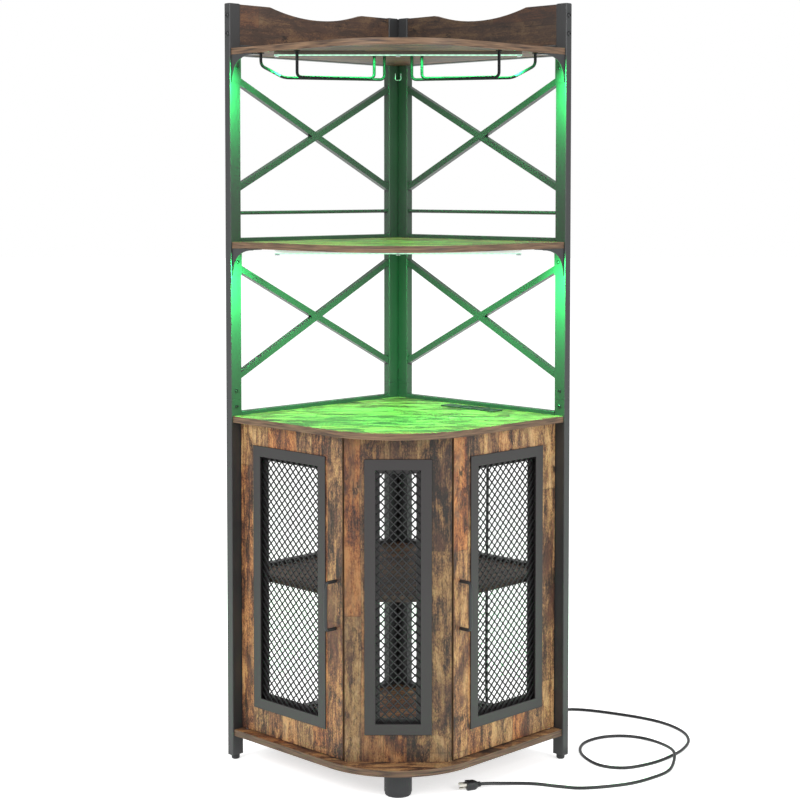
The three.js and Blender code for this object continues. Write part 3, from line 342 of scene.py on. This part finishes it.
HEAD = [(0.0001, 0), (0.0042, 0), (0.0045, 0.0004), (0.0043, 0.0014), (0.0034, 0.0021),
        (0.0021, 0.0023), (0.0018, 0.0021), (0.0017, 0.0009), (0.0001, 0.0008)]
BOLT_HEAD = [(radius * 1.35, rise * 1.3) for radius, rise in HEAD]
SEAM_SCREWS = (887, 850)  # heights, as the next three
BRACKET_SCREWS = (1649, 1193)
FENCE_BOLTS = (1773, 1730)
RAIL_HEIGHTS = (67, 442, 821, 1234, 1689)
RAIL_SCREWS = (92, 279, 466)  # along the wall, as the next three
SEAM_AT, BRACKET_AT, POST_END = 542, 538, 558.2
POST_MIDDLE = -TUBE_WIDTH / 2  # behind the wall frames' inner faces
PROUD, BRACKET_PROUD = 0.2, 2.4  # from those faces to the heads' seats
head_places, head_axes, bolt_places, bolt_axes = [], [], [], []
for right in (False, True):
    mirror = -1 if right else 1
    inward = (mirror * ROOT, -ROOT, 0)
    outward = (-mirror * ROOT, ROOT, 0)
    forward = (-mirror * ROOT, -ROOT, 0)
    head_places += [at_wall(SEAM_AT, PROUD, height, right) for height in SEAM_SCREWS]
    head_places += [at_wall(BRACKET_AT, BRACKET_PROUD, height, right)
                    for height in BRACKET_SCREWS]
    head_axes += [inward] * (len(SEAM_SCREWS) + len(BRACKET_SCREWS))
    head_places += [at_wall(along, -TUBE_WIDTH - PROUD, height, right)
                    for height in RAIL_HEIGHTS for along in RAIL_SCREWS]
    head_axes += [outward] * len(RAIL_HEIGHTS) * len(RAIL_SCREWS)
    bolt_places += [at_wall(POST_END, POST_MIDDLE, height, right) for height in FENCE_BOLTS]
    bolt_axes += [forward] * len(FENCE_BOLTS)
turned_heads("frame_screws", HEAD, head_places, head_axes, oxide, "mesh_steel")
turned_heads("fence_bolts", BOLT_HEAD, bolt_places, bolt_axes, oxide, "mesh_steel")


# Post caps: black polyethylene plugs with a thin domed lid, moulded in one. They are pushed into
# the tops of the four posts and close the tubes.
polyethylene = pvc("black_polyethylene", "#202123", 0.5)
POST_TOP = 1800
POST_CENTRES = (16, 542)  # along the wall
cap = loft([(0, 0.0155, 0.0095, 0.0022), (0.0008, 0.0155, 0.0095, 0.0022),
            (0.0014, 0.0148, 0.0088, 0.0022)])
caps = [turned_to(cap, at_wall(along, POST_MIDDLE, POST_TOP, right), UP,
                  (ROOT if right else -ROOT, -ROOT, 0))
        for right in (False, True) for along in POST_CENTRES]
piece("post_caps", *bundle(caps), polyethylene, "cabinet", "black_plastic")


# Boards: 15 mm particle board with a printed paper face of old planks, sealed with melamine. The
# edges carry a darker streaked banding. The print's planks are about 50 mm wide.
PLANK_WIDTH, PLANK_LENGTH, PLANK_WANDER = 0.052, 0.46, 0.012
PRINT_TONES = ((0.70, "#1f140e"), (0.75, "#432e20"), (0.79, "#6a4b34"), (0.83, "#896343"),
               (0.87, "#a67f50"), (0.95, "#bd9a6e"))


def printed_board(name, along, across, face, seed, level=1.0, dull=0.0):
    """Printed plank paper: gold, orange and brown patches drawn out along the grain, changing at
    plank joints, with speckle, grey smudges, blotches, cracks and dark knots. Faces square to
    the board's face get the print, with painted shade at half brightness on the board's back,
    and the edges get banding, told apart by the surface's own direction."""
    made, tree = new_finish(name)
    place = add(tree, "TexCoord", out="Object")
    run, wide, deep = (add(tree, "VectorMath", {0: place, 1: way}, out="Value",
                           operation="DOT_PRODUCT") for way in (along, across, face))
    flat = add(tree, "CombineXYZ", {"X": run, "Y": wide, "Z": seed})

    def pattern(per_metre_along, per_metre_across, detail, rough=0.6, warp=0.0):
        """Noise in the board's face, drawn out along the grain."""
        drawn_out = add(tree, "VectorMath", {0: flat, 1: (per_metre_along, per_metre_across, 7)},
                        operation="MULTIPLY")
        return add(tree, "TexNoise", {"Vector": drawn_out, "Scale": 1, "Detail": detail,
                                      "Roughness": rough, "Distortion": warp})

    def washed(under, mask, low, high, most, over, way="MIX"):
        """A colour with another over it, the more so as a mask rises from low to high."""
        share = add(tree, "MapRange", {"Value": mask, "From Min": low, "From Max": high,
                                       "To Max": most})
        return add(tree, "Mix", {0: share, MIX_A: under, MIX_B: over}, out=MIX_RESULT,
                   data_type="RGBA", blend_type=way)

    # Planks lie side by side with slightly wandering joints, each row shifted by its own amount.
    wandering = add(tree, "Math", {0: pattern(5, 9, 2), 1: PLANK_WANDER, 2: wide},
                    operation="MULTIPLY_ADD")
    rows = add(tree, "Math", {0: wandering, 1: 1 / PLANK_WIDTH, 2: seed},
               operation="MULTIPLY_ADD")
    row = add(tree, "Math", {0: rows}, operation="FLOOR")
    stagger = add(tree, "TexWhiteNoise", {"W": row}, noise_dimensions="1D")
    shift = add(tree, "Math", {0: stagger, 1: 5.0}, operation="MULTIPLY")
    lengths = add(tree, "Math", {0: run, 1: 1 / PLANK_LENGTH, 2: shift},
                  operation="MULTIPLY_ADD")
    number = add(tree, "Math", {0: lengths}, operation="FLOOR")
    cell = add(tree, "CombineXYZ", {"X": row, "Y": number, "Z": seed})
    plank = add(tree, "TexWhiteNoise", {"Vector": cell})

    # The print's tone: patches of 80 by 30 mm, streaks 7 mm wide, speckle of 2 to 5 mm, and a
    # little from plank to plank.
    patches = pattern(12, 34, 6, 0.68, 0.6)
    streaks = pattern(5, 150, 5, 0.7)
    speckle = pattern(210, 420, 3, 0.8)
    tone = 0.0
    for layer, weight in ((patches, 0.75), (streaks, 0.36), (speckle, 0.46), (plank, 0.09)):
        tone = add(tree, "Math", {0: layer, 1: weight, 2: tone}, operation="MULTIPLY_ADD")
    ramp = add(tree, "ValToRGB", {"Fac": tone})
    stops = ramp.node.color_ramp.elements
    for stop, (position, code) in zip(stops, (PRINT_TONES[0], PRINT_TONES[-1])):
        stop.position, stop.color = position, linear(code)
    for position, code in PRINT_TONES[1:-1]:
        stops.new(position).color = linear(code)

    # Washes over it: some planks orange, grey smudges, purplish stains, and 1 mm fibres.
    tint = add(tree, "SeparateColor", {0: plank.node.outputs["Color"]}, out="Green")
    orange = washed(ramp, tint, 0.4, 1.0, 0.7, (0.5, 0.19, 0.1, 1), "SOFT_LIGHT")
    greyed = washed(orange, pattern(14, 32, 6, 0.75, 0.4), 0.55, 0.66, 0.66, linear("#6a5545"))
    purple = washed(greyed, pattern(9, 20, 5, 0.7, 0.5), 0.5, 0.66, 0.75, linear("#523226"))
    fibres = add(tree, "MapRange", {"Value": pattern(60, 900, 3, 0.7), "From Min": 0.3,
                                    "From Max": 0.7, "To Min": 0.72, "To Max": 1.2})
    grained = add(tree, "Mix", {0: 1.0, MIX_A: purple, MIX_B: fibres}, out=MIX_RESULT,
                  data_type="RGBA", blend_type="MULTIPLY")
    faded = add(tree, "Mix", {0: dull, MIX_A: grained, MIX_B: linear("#5a463a")},
                out=MIX_RESULT, data_type="RGBA")

    # Dark marks, the deepest of them at each point: ragged knots, cracks and blotches, then the
    # joints beside and at the ends of planks.
    knot_place = add(tree, "VectorMath", {0: flat, 1: (9, 17, 7)}, operation="MULTIPLY")
    ragged = add(tree, "VectorMath", {0: knot_place, 1: patches}, operation="ADD")
    knot = add(tree, "TexVoronoi", {"Vector": ragged, "Scale": 1})
    knots = add(tree, "Math", {0: speckle, 1: 0.16, 2: knot}, operation="MULTIPLY_ADD")
    cracks = pattern(8, 230, 3, 0.55)
    blotches = pattern(34, 75, 5, 0.75, 0.8)
    marks = 0.0
    for value, low, high, start, end in ((knots, 0.16, 0.23, 0.9, 0.0),
                                         (cracks, 0.65, 0.7, 0.0, 0.75),
                                         (blotches, 0.59, 0.64, 0.0, 0.62)):
        mark = add(tree, "MapRange", {"Value": value, "From Min": low, "From Max": high,
                                      "To Min": start, "To Max": end})
        marks = add(tree, "Math", {0: marks, 1: mark}, operation="MAXIMUM")
    for count, inner, outer, strength in ((rows, 0.47, 0.496, 0.55),
                                          (lengths, 0.494, 0.4985, 0.35)):
        share = add(tree, "Math", {0: count}, operation="FRACT")
        centred = add(tree, "Math", {0: share, 1: 0.5}, operation="SUBTRACT")
        off = add(tree, "Math", {0: centred}, operation="ABSOLUTE")
        joint = add(tree, "MapRange", {"Value": off, "From Min": inner, "From Max": outer,
                                       "To Max": strength * (1.0 - dull)})
        marks = add(tree, "Math", {0: marks, 1: joint}, operation="MAXIMUM")
    marked = add(tree, "Mix", {0: marks, MIX_A: faded, MIX_B: linear("#1c110b")},
                 out=MIX_RESULT, data_type="RGBA")

    # Banding on the edges, in streaks of 3 mm, and painted shade at half the brightness on the
    # board's back.
    inside = add(tree, "CombineXYZ", {"X": run, "Y": wide, "Z": deep})
    layered = add(tree, "VectorMath", {0: inside, 1: (16, 16, 330)}, operation="MULTIPLY")
    edge_grain = add(tree, "TexNoise", {"Vector": layered, "Scale": 1, "Detail": 5})
    banding = washed(linear("#33221a"), edge_grain, 0.3, 0.7, 1.0, linear("#86684e"))
    square = add(tree, "VectorMath", {0: place.node.outputs["Normal"], 1: face}, out="Value",
                 operation="DOT_PRODUCT")
    facing = add(tree, "Math", {0: square}, operation="ABSOLUTE")
    is_face = add(tree, "Math", {0: facing, 1: 0.7}, operation="GREATER_THAN")
    covering = add(tree, "Mix", {0: is_face, MIX_A: banding, MIX_B: marked}, out=MIX_RESULT,
                   data_type="RGBA")
    # Painted shade: faces turned away from the board's face, such as shelf undersides and door
    # insides, are drawn at half brightness.
    painted_back_shade = add(tree, "MapRange", {"Value": square, "From Min": -0.8, "From Max": -0.6,
                                     "To Min": 0.5 * level, "To Max": level})
    colour = add(tree, "VectorMath", {0: covering, "Scale": painted_back_shade}, operation="SCALE")
    gloss = add(tree, "MapRange", {"Value": streaks, "To Min": 0.45, "To Max": 0.65})
    bump = add(tree, "Bump", {"Strength": 0.25, "Distance": 0.0004, "Height": speckle})
    shade(tree, {"Base Color": colour, "Roughness": gloss, "Normal": bump})
    return made


# Each board's level scales the brightness of its print. The inner shelf's 0.32 is painted shade
# for its place inside the cabinet behind the doors.
LEVEL_BOARDS = (("top_shelf", 1.0), ("second_shelf", 1.0), ("counter_board", 1.0),
                ("inner_shelf", 0.32), ("bottom_board", 0.85))
for number, (board, level) in enumerate(LEVEL_BOARDS):
    dress(board, printed_board(f"plank_print_{board}", (1, 0, 0), (0, 1, 0), UP,
                               1.37 * number + 0.4, level))
LEFT_WALL, RIGHT_WALL = (-ROOT, -ROOT, 0), (ROOT, -ROOT, 0)  # from the corner, along each wall
for number, side in enumerate(SIDES):
    along, out = ((LEFT_WALL, RIGHT_WALL), (RIGHT_WALL, (ROOT, ROOT, 0)))[number]
    dress(f"{side}_fence_board", printed_board(f"plank_print_{side}_fence", along, UP, out,
                                               9.3 + 2.6 * number, 0.7, 0.6))
    dress(f"{side}_door_panel", printed_board(f"plank_print_{side}_door", UP, out, along,
                                              14.6 + 2.6 * number, 1.2))
dress("centre_panel", printed_board("plank_print_centre", UP, (1, 0, 0), (0, -1, 0), 20.5, 0.64))


# Windows: folded steel frames set into the doors and the centre panel, with diamond wire mesh
# welded in behind. Frame and mesh are powder coated black; the mesh wire is 3.7 mm thick.
window_coat = powder_coat("satin_black_powder_coat", "#292526", 0.4)
mesh_coat = powder_coat("black_powder_coated_wire", "#1e1f20", 0.4)
DOOR_FACE = 531.4  # the doors' outer faces, from the corner along the other wall
DOOR_FREE_EDGE = 361
PANEL_FACE = CORNER - (DOOR_FACE + DOOR_FREE_EDGE) * ROOT
WINDOW_LOW, WINDOW_HIGH = 136, 762
DOOR_WINDOW, CENTRE_WINDOW = (50, 300), (-76, 76)  # across
MESH_INSET = 16  # from the frame's outer edge
CELL_WIDTH, CELL_HEIGHT = 19.5, 19.7
WIRE_RADIUS = 1.85
WIRE_SIDES = 6
WIRE_LEVEL = -12.0  # off the face
WIRE_SPLIT = WIRE_RADIUS * 0.7


def door_place(right):
    """From (across, up, out) millimetres on a door to the row frame in metres."""
    return lambda p: at_wall(DOOR_FACE + p[..., 2], p[..., 0], p[..., 1], right)


def panel_place(p):
    """From (across, up, out) millimetres on the centre panel to the row frame in metres."""
    return np.stack([p[..., 0], PANEL_FACE - p[..., 2], p[..., 1]], axis=-1) / 1000


def mitred_frame(x0, x1, z0, z1, profile):
    """A profile of (distance in from the edge, height off the face) carried round a rectangle,
    with each corner's ring on the mitre."""
    profile = np.array(profile, float)
    corners = np.array([(x0, z0, 1, 1), (x1, z0, -1, 1), (x1, z1, -1, -1), (x0, z1, 1, -1)])
    corners = corners[:, None, :]
    across = corners[..., 0] + corners[..., 2] * profile[:, 0]
    up = corners[..., 1] + corners[..., 3] * profile[:, 0]
    return np.stack([across, up, np.broadcast_to(profile[:, 1], across.shape)], axis=-1)


def diamond_wires(x0, x1, z0, z1):
    """Straight wires at the two slopes of the diamonds, cut off at the rectangle. Each is a
    six-sided bar; the two directions lie one on the other."""
    slope = CELL_HEIGHT / CELL_WIDTH
    starts = np.arange(z0 - slope * (x1 - x0), z1, CELL_HEIGHT)
    low = np.maximum(x0, x0 + (z0 - starts) / slope)
    high = np.minimum(x1, x0 + (z1 - starts) / slope)
    keep = high - low > 2
    starts, low, high = starts[keep], low[keep], high[keep]
    ends = np.stack([np.stack([low, starts + slope * (low - x0)], -1),
                     np.stack([high, starts + slope * (high - x0)], -1)], axis=1)
    turn = np.arange(WIRE_SIDES) * 2 * math.pi / WIRE_SIDES
    square = np.array([-slope, 1]) / math.hypot(1, slope)
    shift = WIRE_RADIUS * np.cos(turn)[None, None, :, None] * square
    depth = WIRE_RADIUS * np.sin(turn)
    flat = ends[:, :, None, :] + shift
    bars = []
    for mirrored in (False, True):
        across = x0 + x1 - flat[..., 0] if mirrored else flat[..., 0]
        out = WIRE_LEVEL + depth + (WIRE_SPLIT if mirrored else -WIRE_SPLIT)
        bars.append(np.stack([across, flat[..., 1], np.broadcast_to(out, across.shape)], axis=-1))
    return np.vstack(bars)


FLANGE = [(0.6, 0.2), (0, 0.8), (0, 2.6), (0.8, 3.3), (24.2, 3.3), (25, 2.6), (25, 0.2),
          (15.3, 0.2), (15.3, -14.0), (35, -14.0), (35, -15.6), (13.3, -15.6), (13.3, 0.2)]
windows = (("left_door", DOOR_WINDOW, door_place(False), "left_door"),
           ("right_door", DOOR_WINDOW, door_place(True), "right_door"),
           ("centre", CENTRE_WINDOW, panel_place, "cabinet"))
for label, (x0, x1), place_of, body in windows:
    rings = mitred_frame(x0, x1, WINDOW_LOW, WINDOW_HIGH, FLANGE)
    rim = piece(f"{label}_window_frame", place_of(rings), skin(rings, closed_along=True),
                window_coat, body, "mesh_steel")
    bars = diamond_wires(x0 + MESH_INSET, x1 - MESH_INSET, WINDOW_LOW + MESH_INSET,
                         WINDOW_HIGH - MESH_INSET)
    wires = piece(f"{label}_window_mesh", *bundle(place_of(bars)), mesh_coat, body, "mesh_steel")
    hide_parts(f"{label}_window")
    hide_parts(f"{label}_window")


# Door furniture: bent rod pulls in black, zinc-plated pivot pins at the doors' outer edges, and
# magnetic catches under the counter that hold zinc strike plates.
handle_coat = powder_coat("black_handle_coat", "#1f2022", 0.36)
zinc = plated("zinc_plated_steel", "#b9bcc0", 240, 4, 0.28, 0.5)
for side in SIDES:
    dress(f"{side}_door_handle", handle_coat)
    dress(f"{side}_door_upper_pivot", zinc)
    dress(f"{side}_door_lower_pivot", zinc)


def block(along, into, up, size, right, corner=1.5):
    """A rounded block set square to a wall: its ends are drawn in by 0.6 mm."""
    half_x, half_y, half_z = (s / 2 for s in size)
    rings = loft([(h, half_x - d, half_y - d, corner)
                  for h, d in ((-half_z, 0.6), (-half_z + 0.6, 0), (half_z - 0.6, 0),
                               (half_z, 0.6))])
    places = at_wall(along + rings[..., 1], into + rings[..., 2], up + rings[..., 0], right)
    return places, skin(rings)


CATCH_INTO = 330  # from the wall, near the door's free edge
for right, side in enumerate(SIDES):
    catch = block(505, CATCH_INTO, 802.5, (16, 34, 20), right)
    piece(f"{side}_magnetic_catch", *catch, polyethylene, "cabinet", "black_plastic")
    plate = block(514, CATCH_INTO, 799, (1.8, 22, 14), right, 0.8)
    piece(f"{side}_strike_plate", *plate, zinc, f"{side}_door", "bright_steel")


# Glass racks: 7 mm steel rod bent into long flat loops and hung under the top shelf in pairs.
# The outer rod slopes up at its outer end, so that a glass's foot finds its way in.
def bent_rod(corners, bend, radius, around=14):
    """A round rod along corners that are eased by quadratic curves: each ring is a circle square
    to the rod, turned by the rod's own level direction."""
    corners = np.array(corners, float)
    legs = np.diff(corners, axis=0)
    legs /= np.linalg.norm(legs, axis=1)[:, None]
    t = np.linspace(0, 1, 9)[None, :, None]
    before = (corners[1:-1] - bend * legs[:-1])[:, None, :]
    after = (corners[1:-1] + bend * legs[1:])[:, None, :]
    middle = corners[1:-1][:, None, :]
    eased = (1 - t) ** 2 * before + 2 * t * (1 - t) * middle + t ** 2 * after
    headings = (1 - t) * (middle - before) + t * (after - middle)
    line = np.vstack([corners[:1], eased.reshape(-1, 3), corners[-1:]])
    forward = np.vstack([legs[:1], headings.reshape(-1, 3), legs[-1:]])
    forward /= np.linalg.norm(forward, axis=1)[:, None]
    level = np.array([corners[-1][1] - corners[0][1], corners[0][0] - corners[-1][0], 0])
    level = level - (forward @ level)[:, None] * forward
    level /= np.linalg.norm(level, axis=1)[:, None]
    lift = np.cross(forward, level)
    turn = (np.arange(around) * 2 * math.pi / around)[None, :, None]
    circle = np.cos(turn) * level[:, None, :] + np.sin(turn) * lift[:, None, :]
    return line[:, None, :] + radius * circle


rack_coat = powder_coat("black_rack_coat", "#141618", 0.5, 0.15)
RACK_TURN = math.radians(17.5)
RACK_BACK = -177  # y of the inner rod's outer end
RACK_GAP = 38  # between the rods, for a stem
RACK_TOP, RACK_LOW, RACK_LEAD_IN = 1680, 1620.7, 1651.7  # heights
INNER_NEAR, INNER_FAR = 55, 230  # off the middle, as the next three
OUTER_NEAR, OUTER_FAR, OUTER_END = 32, 262, 318
OUTER_END_Y = -105
ROD_BEND, ROD_RADIUS = 12, 3.5
DISC = [(0.0001, 0), (0.0072, 0), (0.0075, 0.0004), (0.0075, 0.0014), (0.0069, 0.002),
        (0.0001, 0.002)]
DISC_RISE = 0.7  # above the rods' ends


def rack_line(x):
    """The y of the inner rod x off the middle: it runs back towards the middle."""
    return RACK_BACK + (INNER_FAR - x) * math.tan(RACK_TURN)


def stem_line(x):
    """The y of the outer rod x off the middle."""
    return rack_line(x) + RACK_GAP / math.cos(RACK_TURN)


for mirror, side in ((1, "left"), (-1, "right")):
    inner_rod = [(-INNER_FAR, rack_line(INNER_FAR), RACK_TOP),
                 (-INNER_FAR, rack_line(INNER_FAR), RACK_LOW),
                 (-INNER_NEAR, rack_line(INNER_NEAR), RACK_LOW),
                 (-INNER_NEAR, rack_line(INNER_NEAR), RACK_TOP)]
    outer_rod = [(-OUTER_END, OUTER_END_Y, RACK_TOP), (-OUTER_END, OUTER_END_Y, RACK_LEAD_IN),
                 (-OUTER_FAR, stem_line(OUTER_FAR), RACK_LOW),
                 (-OUTER_NEAR, stem_line(OUTER_NEAR), RACK_LOW),
                 (-OUTER_NEAR, stem_line(OUTER_NEAR), RACK_TOP)]
    rods = [bent_rod(rod, ROD_BEND, ROD_RADIUS) * (mirror, 1, 1) / 1000
            for rod in (inner_rod, outer_rod)]
    rack = piece(f"{side}_rack_rods", *bundle(rods), rack_coat, "cabinet", "mesh_steel")
    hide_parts(f"{side}_glass_rack")
    discs = [(x * mirror / 1000, y / 1000, (RACK_TOP + DISC_RISE) / 1000)
             for x, y, _ in (inner_rod[0], inner_rod[-1], outer_rod[0], outer_rod[-1])]
    turned_heads(f"{side}_rack_flanges", DISC, discs, [(0, 0, -1)] * len(discs), rack_coat,
                 "mesh_steel", around=20)


# Wall hook: a small zinc-plated U of bent wire in the corner under the top shelf, pressed
# against both rear posts. A strap through it ties the cabinet to the room's wall.
HOOK_RADIUS, HOOK_BEND, HOOK_HALF_WIDTH = 1.5, 4, 7
HOOK_TOP, HOOK_LOW = 1661, 1644
HOOK_Y = CORNER - 8.6
hook_corners = [(x, HOOK_Y, z) for x, z in ((-HOOK_HALF_WIDTH, HOOK_TOP),
                                            (-HOOK_HALF_WIDTH, HOOK_LOW),
                                            (HOOK_HALF_WIDTH, HOOK_LOW),
                                            (HOOK_HALF_WIDTH, HOOK_TOP))]
hook = bent_rod(hook_corners, HOOK_BEND, HOOK_RADIUS) / 1000
piece("wall_hook", hook, skin(hook), zinc, "cabinet", "bright_steel")


# Lamps: slim strips of green diodes across the undersides of both open shelves, held by small
# zinc clips. The upper strip's silicone body is smoke tinted and the lower one's is clear, and
# each has a bead along its lower edge that glows.
BEAD_DROP = 0.0077  # from the shelf's underside to the top of the bead
CLIP_DROP = 0.0117
CLIP_PLACES = (-0.278, 0.0, 0.278)
LAMP_Y = -0.1496
LAMP_GREEN = "#38ff7c"
LAMP_TILT = math.radians(25)  # the light leaves backwards, out of sight from the front
DIODE_SCALE = 19.0  # of the wave, which then peaks every 17 mm


def lit_silicone(name, edge, tint):
    """Tinted silicone above the height of edge and a glowing bead below it, brighter at each
    diode."""
    made, tree = new_finish(name)
    place = add(tree, "TexCoord", out="Object")
    height = add(tree, "SeparateXYZ", {0: place}, out="Z")
    bead = add(tree, "Math", {0: height, 1: edge}, operation="LESS_THAN")
    diodes = add(tree, "TexWave", {"Vector": place, "Scale": DIODE_SCALE}, out="Fac",
                 bands_direction="X", wave_profile="SIN")
    glow = add(tree, "MapRange", {"Value": diodes, "To Min": 0.35, "To Max": 0.6})
    shine = add(tree, "Math", {0: glow, 1: bead}, operation="MULTIPLY")
    body = add(tree, "Mix", {0: bead, MIX_A: linear(tint), MIX_B: linear("#a8d8c0")},
               out=MIX_RESULT, data_type="RGBA")
    shade(tree, {"Base Color": body, "Emission Color": linear("#c4ffe0"),
                 "Emission Strength": shine, "Roughness": 0.35})
    made.cycles.emission_sampling = "NONE"
    return made


clip = loft([(-0.005, 0.0072, 0.0007, 0.0006), (-0.0046, 0.0078, 0.0012, 0.001),
             (0.0046, 0.0078, 0.0012, 0.001), (0.005, 0.0072, 0.0007, 0.0006)])
for level, underside, power, tint in (("top", 1.681, 7.5, "#514a40"),
                                      ("second", 1.226, 15.0, "#f4faf6")):
    dress(f"{level}_lamp_strip", lit_silicone(f"lit_silicone_{level}", underside - BEAD_DROP,
                                              tint))
    clips = [clip + (x, LAMP_Y, underside - CLIP_DROP) for x in CLIP_PLACES]
    piece(f"{level}_lamp_clips", *bundle(clips), zinc, "cabinet", "bright_steel")
    # x, lean to the side, drop below the shelf, length, cone and power: the strip's own light,
    # and a glow towards the post at each end
    glows = ((0.0, 0, 0.016, 0.54, 150, power), (-0.27, -66, 0.045, 0.014, 85, 2.6),
             (0.27, 66, 0.045, 0.014, 85, 2.6))
    for number, (x, lean, drop, length, cone, energy) in enumerate(glows):
        lamp = bpy.data.lights.new(f"{level}_lamp_light_{number}", "AREA")
        lamp.shape = "RECTANGLE"
        lamp.size, lamp.size_y = length, 0.012
        lamp.spread = math.radians(cone)
        lamp.color = linear(LAMP_GREEN)[:3]
        lamp.energy = energy
        light = bpy.data.objects.new(lamp.name, lamp)
        light.location = (x, LAMP_Y, underside - drop)
        light.rotation_euler = (LAMP_TILT, math.radians(-lean), 0)
        bpy.context.scene.collection.objects.link(light)


# Power strip: a black ABS plate let into the counter, with three earthed outlets and two
# charging ports. Its strain relief is a tapered rubber sleeve.
dress("power_strip", pvc("black_abs", "#222326", 0.42))


# Feet: black polyethylene glides under the four posts, with one stout leg of the same plastic
# under the front of the bottom board.
for side in SIDES:
    dress(f"{side}_front_foot", polyethylene)
    dress(f"{side}_rear_foot", polyethylene)
dress("front_leg", polyethylene)


# Studio: a pale floor and soft light from the front left, the right and above. The floor and the
# world look white to the camera without lighting the cabinet more.
FLOOR_HALF = 30
FLOOR_GLOW = 0.62  # seen by the camera alone, over the floor's own light
WORLD_LIGHT = 0.62


def seen_by(tree, first, second):
    """1 for rays of either kind, else 0."""
    path = add(tree, "LightPath", out=first)
    return add(tree, "Math", {0: path, 1: path.node.outputs[second]}, operation="MAXIMUM")


floor_mesh = bpy.data.meshes.new("floor")
floor_mesh.from_pydata([(x * FLOOR_HALF, y * FLOOR_HALF, 0)
                        for x, y in ((-1, -1), (1, -1), (1, 1), (-1, 1))], [], [(0, 1, 2, 3)])
floor = bpy.data.objects.new("floor", floor_mesh)
bpy.context.scene.collection.objects.link(floor)
floor_paint, floor_tree = new_finish("studio_floor")
matt = add(floor_tree, "BsdfDiffuse", {"Color": (0.9, 0.9, 0.9, 1)})
bright = add(floor_tree, "Emission", {"Strength": FLOOR_GLOW})
lit = add(floor_tree, "AddShader", {0: matt, 1: bright})
shown = add(floor_tree, "MixShader",
            {0: seen_by(floor_tree, "Is Camera Ray", "Is Glossy Ray"), 1: matt, 2: lit})
add(floor_tree, "OutputMaterial", {"Surface": shown})
floor_mesh.materials.append(floor_paint)

world = bpy.data.worlds.new("studio")
bpy.context.scene.world = world
world.use_nodes = True
world_tree = world.node_tree
world_tree.nodes.clear()
world_seen = seen_by(world_tree, "Is Camera Ray", "Is Transmission Ray")
world_level = add(world_tree, "MapRange", {"Value": world_seen, "To Min": WORLD_LIGHT,
                                           "To Max": 1.0})
sky = add(world_tree, "Background", {"Color": (1, 1, 1, 1), "Strength": world_level})
add(world_tree, "OutputWorld", {"Surface": sky})

AIM = (0, 0, 0.95)
for name, place, size, power in (("key", (-2.3, -2.9, 2.8), 1.8, 95),
                                 ("fill", (2.6, -2.4, 1.9), 2.0, 58),
                                 ("over", (0.0, 0.3, 3.6), 2.2, 35)):
    data = bpy.data.lights.new(name, "AREA")
    data.size = size
    data.energy = power
    softbox = bpy.data.objects.new(name, data)
    softbox.location = place
    aim = np.array(AIM) - np.array(place)
    softbox.rotation_euler = (math.acos(-aim[2] / np.linalg.norm(aim)), 0,
                              math.atan2(aim[1], aim[0]) - math.pi / 2)
    bpy.context.scene.collection.objects.link(softbox)

bpy.context.scene.view_settings.view_transform = "Standard"
